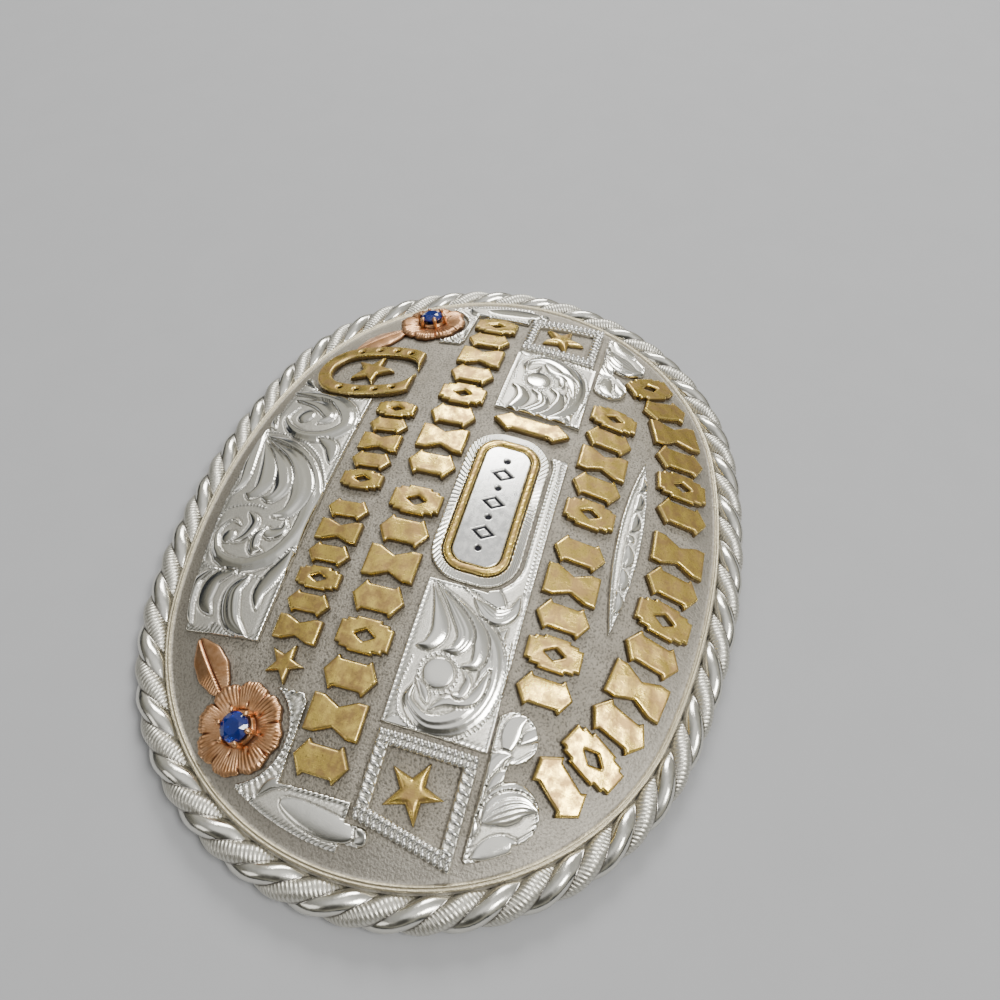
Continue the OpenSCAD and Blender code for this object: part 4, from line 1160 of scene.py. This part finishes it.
def petals_top(x, y, d):
    """Petals that rise from the middle and turn down at their ends, fluted and creased."""
    r, a = np.hypot(x, y), np.arctan2(y, x)
    share = np.clip(r / flower_reach(a), 0, 1)
    wave = np.abs(np.cos(4 * a))
    swell = 0.5 * np.sin(np.clip((share - 0.3) / 0.62, 0, 1) * math.pi / 2)
    h = seat_gap + 0.40 + swell * (0.72 + 0.28 * wave)
    h = h - 0.3 * np.clip((share - 0.86) / 0.14, 0, 1) ** 2
    flute = 0.5 - 0.5 * np.cos(64 * a + 3 * np.sin(4 * a))
    h = h - 0.10 * flute * np.clip((share - 0.42) / 0.2, 0, 1)
    h = h - 0.20 * np.exp(-(wave / 0.12) ** 2) * np.clip((share - 0.7) / 0.2, 0, 1)
    crease = np.exp(-((np.abs(np.sin(4 * a)) * r / 4) / 0.12) ** 2)
    h = h - 0.2 * crease * np.clip(1 - np.abs(r - 2.8) / 0.55, 0, 1)
    collar = np.clip(1 - (r - stone_r - 0.12) / 0.15, 0, 1)
    h = np.where(r < stone_r + 0.27, np.maximum(h, seat_gap + petal_t * 0.75 + 0.3 * collar), h)
    h = np.where(r < stone_r * 0.8, seat_gap + 0.6, h)
    return np.minimum(h, rounded(d, seat_gap + petal_t + 0.4, 0.25)), {}


leaf_wid = 0.46 * leaf_len
fold_r = (leaf_len ** 2 + leaf_wid ** 2) / (4 * leaf_wid)


def leaf_outline(x, y):
    centre = fold_r - leaf_wid / 2
    return np.maximum(np.hypot(x, y - centre), np.hypot(x, y + centre)) - fold_r + 0.05 * np.sin(2.6 * x)


def leaf_top(x, y, d):
    """A leaf folded along its middle, hatched on one half."""
    h = seat_gap + 0.35 + 0.42 * np.sqrt(np.clip(-d / (leaf_wid / 2), 0, 1))
    h = h - 0.34 * np.exp(-(y / 0.16) ** 2) * np.clip((x + leaf_len / 2) / 1.2, 0, 1)
    hatch = ripple((x + 0.5 * np.abs(y)) / 0.42)
    h = h - 0.06 * hatch * np.clip((-0.6 - x) / 0.8, 0, 1)
    return np.minimum(h, rounded(d, seat_gap + petal_t * 0.9, 0.2)), {}


def prong_shell(place, a):
    """One little pillar with a round head that leans over the stone."""
    out_r, foot, sides = stone_r + 0.36, petal_t * 0.5, 14
    # from the head down: radius, height and lean towards the stone
    levels = [(0.1, girdle_z + 0.68, -0.24), (0.24, girdle_z + 0.6, -0.22), (0.32, girdle_z + 0.45, -0.16),
              (0.33, girdle_z + 0.25, -0.06), (0.30, girdle_z, 0), (0.30, foot, 0)]
    turn = np.arange(sides) * 2 * math.pi / sides
    px = np.concatenate([out_r + lean + r * np.cos(turn) for r, _, lean in levels] + [[out_r - 0.24, out_r]])
    py = np.concatenate([r * np.sin(turn) for r, _, _ in levels] + [[0, 0]])
    pz = np.append(np.repeat([z for _, z, _ in levels], sides), [girdle_z + 0.7, foot])
    px, py = rolled(px, py, -a)
    # each quad begins at its lower corner, which sets the diagonal it is split along
    quads, *fans = ring_faces(len(levels), sides)
    # prongs: no painted shade, and a steady share of the painted edge highlight
    return {"points": place(px, py, seat_gap + pz), "faces": [np.roll(quads, -1, axis=1), *fans],
            "numbers": {"painted_recess_shade": np.zeros(len(px)), "edge": np.full(len(px), 0.6)}}


for side, word in both_ends:
    spot = seat(side * flower_x, flower_y)
    a = leaf_a if side > 0 else math.pi - leaf_a
    mid = leaf_reach - leaf_len / 2
    leaf_spot = seat(side * flower_x + mid * math.cos(a), flower_y + mid * math.sin(a), a)
    shells = [relief(flower_outline, petals_top, spot, (-5.3, 5.3, -5.3, 5.3), 0.085),
              relief(leaf_outline, leaf_top, leaf_spot, (-4.5, 4.5, -2.2, 2.2), 0.085)]
    shells += [prong_shell(spot, (i + 0.5) * math.pi / 3) for i in range(6)]
    flower = build("copper_flower_" + word, shells, [copper.material])
    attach(flower, "root")
    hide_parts("flower_" + word)

# ---------------------------------------------------------------- blue stones
# One round deep blue glass stone in each flower, brilliant cut: an eight-sided table,
# a ring of slanting facets down to its waist, and a pointed back.
mat = blue = Finish("blue_glass", 0.0)
tint = mat.noise(1.6, 2, 0.5)
mat.set("Base Color", mat.mix(tint, (0.002, 0.010, 0.17), (0.008, 0.05, 0.46)))
mat.shader.inputs["Transmission Weight"].default_value = 0.55
mat.shader.inputs["IOR"].default_value = 1.77
mat.shader.inputs["Coat Weight"].default_value = 0.2
mat.set("Roughness", mat.span(tint, 0, 1, 0.02, 0.06))


def stone_shell(place):
    """The stone's facets; its points lie in rings of 8, 8, 16, 16 and 8 from the table down."""
    def ring(r, z, sides, shift=0.0):
        a = (np.arange(sides) + shift) * 2 * math.pi / sides
        return [(r * math.cos(q), r * math.sin(q), z) for q in a]
    top = girdle_z + 0.2 + 0.3 * stone_r
    points = ring(0.56 * stone_r, top, 8) + ring(0.80 * stone_r, girdle_z + 0.2 + 0.17 * stone_r, 8, 0.5)
    points += ring(stone_r, girdle_z + 0.2, 16) + ring(stone_r, girdle_z, 16)
    points += ring(0.2 * stone_r, 0.15 * girdle_z, 8, 0.5)
    faces = []
    for i in range(8):
        j, first, second, third = (i + 1) % 8, 2 * i, 2 * i + 1, (2 * i + 2) % 16
        faces += [(i, 8 + i, j), (8 + i, 16 + first, 16 + second), (8 + i, 16 + second, 16 + third),
                  (i, 16 + first, 8 + i), (j, 8 + i, 16 + third), (48 + i, 32 + second, 32 + first),
                  (48 + i, 32 + third, 32 + second), (48 + i, 48 + j, 32 + third)]
    for i in range(16):
        j = (i + 1) % 16
        faces += [(16 + i, 32 + i, 32 + j), (16 + i, 32 + j, 16 + j)]
    for i in range(1, 7):
        faces += [(0, i, i + 1), (48, 48 + i + 1, 48 + i)]
    p = np.array(points)
    return {"points": place(p[:, 0], p[:, 1], p[:, 2] + seat_gap), "faces": [np.array(faces)]}


for side, word in both_ends:
    gem = build("blue_stone_" + word, [stone_shell(seat(side * flower_x, flower_y))], [blue.material], False)
    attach(gem, "root")
    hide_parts("stone_" + word)

# ---------------------------------------------------------------- belt loop and hook
# A loop bent from nickelled steel wire for the belt's fixed end, and a steel post for its
# holes, both soldered to the plate's back. The CAD solids are their shape.
mat = steel = Finish("nickelled_steel")
haze = mat.noise(1.4, 3, 0.6)
mat.set("Base Color", mat.mix(haze, (0.48, 0.47, 0.45), (0.62, 0.61, 0.59)))
mat.set("Roughness", mat.span(haze, 0.3, 0.7, 0.26, 0.42))
mat.set("Normal", mat.bump(mat.noise(0.3, 3, 0.6, (1, 0.1, 1)), 0.02, 0.5))
for word in ("belt_loop", "hook"):
    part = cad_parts[word]
    if not part.material_slots:
        part.data.materials.append(steel.material)
    for slot in part.material_slots:
        slot.material = steel.material

# ---------------------------------------------------------------- floor and lights
# Plain pale table, two soft lights and a weak one opposite, and round them the uneven
# surroundings that the polished metal mirrors.
table_mesh = bpy.data.meshes.new("table_top")
table_mesh.from_pydata([(-3, -3, 0), (3, -3, 0), (3, 3, 0), (-3, 3, 0)], [], [(0, 1, 2, 3)])
table_top = stand("table_top", table_mesh)
mat = pale = Finish("pale_table", 0.0)
mat.set("Base Color", mat.mix(mat.noise(9, 4, 0.6), (0.40, 0.405, 0.42), (0.43, 0.435, 0.45)))
mat.shader.inputs["Roughness"].default_value = 0.8
table_mesh.materials.append(pale.material)

world = bpy.data.worlds.new("studio")
world.use_nodes = True
sky = world.node_tree
direction = wired(sky, "ShaderNodeTexCoord").outputs["Generated"]
height = wired(sky, "ShaderNodeSeparateXYZ", {0: direction}).outputs["Z"]
haze = wired(sky, "ShaderNodeTexNoise", {"Vector": direction, "Scale": 2.2, "Detail": 1}).outputs["Fac"]
uneven = wired(sky, "ShaderNodeMath", {0: haze, 1: 0.9, 2: -0.45}, operation="MULTIPLY_ADD").outputs[0]
level = wired(sky, "ShaderNodeMath", {0: height, 1: uneven}).outputs[0]
ramp = wired(sky, "ShaderNodeValToRGB", {"Fac": level})
# the colour at each height, from the dark wall behind the table up to the bright ceiling
stops = [(0.0, (0.06, 0.07, 0.09)), (0.10, (0.10, 0.11, 0.13)), (0.16, (0.13, 0.14, 0.15)),
         (0.30, (0.68, 0.66, 0.57)), (0.50, (0.84, 0.82, 0.72)), (0.78, (1.0, 1.0, 0.97)),
         (1.0, (1.35, 1.36, 1.36))]
for number, (at, colour) in enumerate(stops):
    stop = ramp.color_ramp.elements[0] if number == 0 else ramp.color_ramp.elements.new(at)
    stop.position, stop.color = at, (*colour, 1)
ramp.color_ramp.elements.remove(ramp.color_ramp.elements[-1])


def lobe(towards, low, high, at_low, at_high):
    """A factor that changes with the angle to one direction."""
    dot = wired(sky, "ShaderNodeVectorMath", {0: direction, 1: towards}, operation="DOT_PRODUCT")
    return wired(sky, "ShaderNodeMapRange", {"Value": dot.outputs["Value"], "From Min": low, "From Max": high,
                                             "To Min": at_low, "To Max": at_high}).outputs["Result"]


light = ramp.outputs["Color"]
for factor in (lobe((0.71, 0.02, 0.70), 0.84, 0.97, 1.0, 0.15),  # whoever stands over the table
               lobe((-0.47, 0.88, 0.0), -0.8, -0.4, 0.4, 1.0),  # the side away from the windows
               lobe((-0.08, 0.0, 0.997), 0.86, 0.98, 1.0, 1.9)):  # the lit ceiling
    light = wired(sky, "ShaderNodeVectorMath", {0: light, "Scale": factor}, operation="SCALE").outputs[0]
sky.links.new(light, sky.nodes["Background"].inputs["Color"])
sky.nodes["Background"].inputs["Strength"].default_value = 0.53
bpy.context.scene.world = world


def soft_light(name, place, width, height, watts, colour):
    """A rectangular lamp that looks at the buckle."""
    lamp = bpy.data.lights.new(name, "AREA")
    lamp.shape, lamp.size, lamp.size_y, lamp.energy, lamp.color = "RECTANGLE", width, height, watts, colour
    holder = stand(name, lamp)
    holder.location = place
    holder.rotation_euler = (-mathutils.Vector(place)).to_track_quat("-Z", "Y").to_euler()


soft_light("window", (-0.60, -0.10, 0.50), 0.32, 0.26, 4.4, (1.0, 0.99, 0.97))
soft_light("sky", (0.10, 0.42, 0.68), 0.26, 0.22, 4.4, (1.0, 0.99, 0.96))
soft_light("fill", (0.45, -0.45, 0.40), 0.30, 0.30, 0.5, (1.0, 0.98, 0.95))
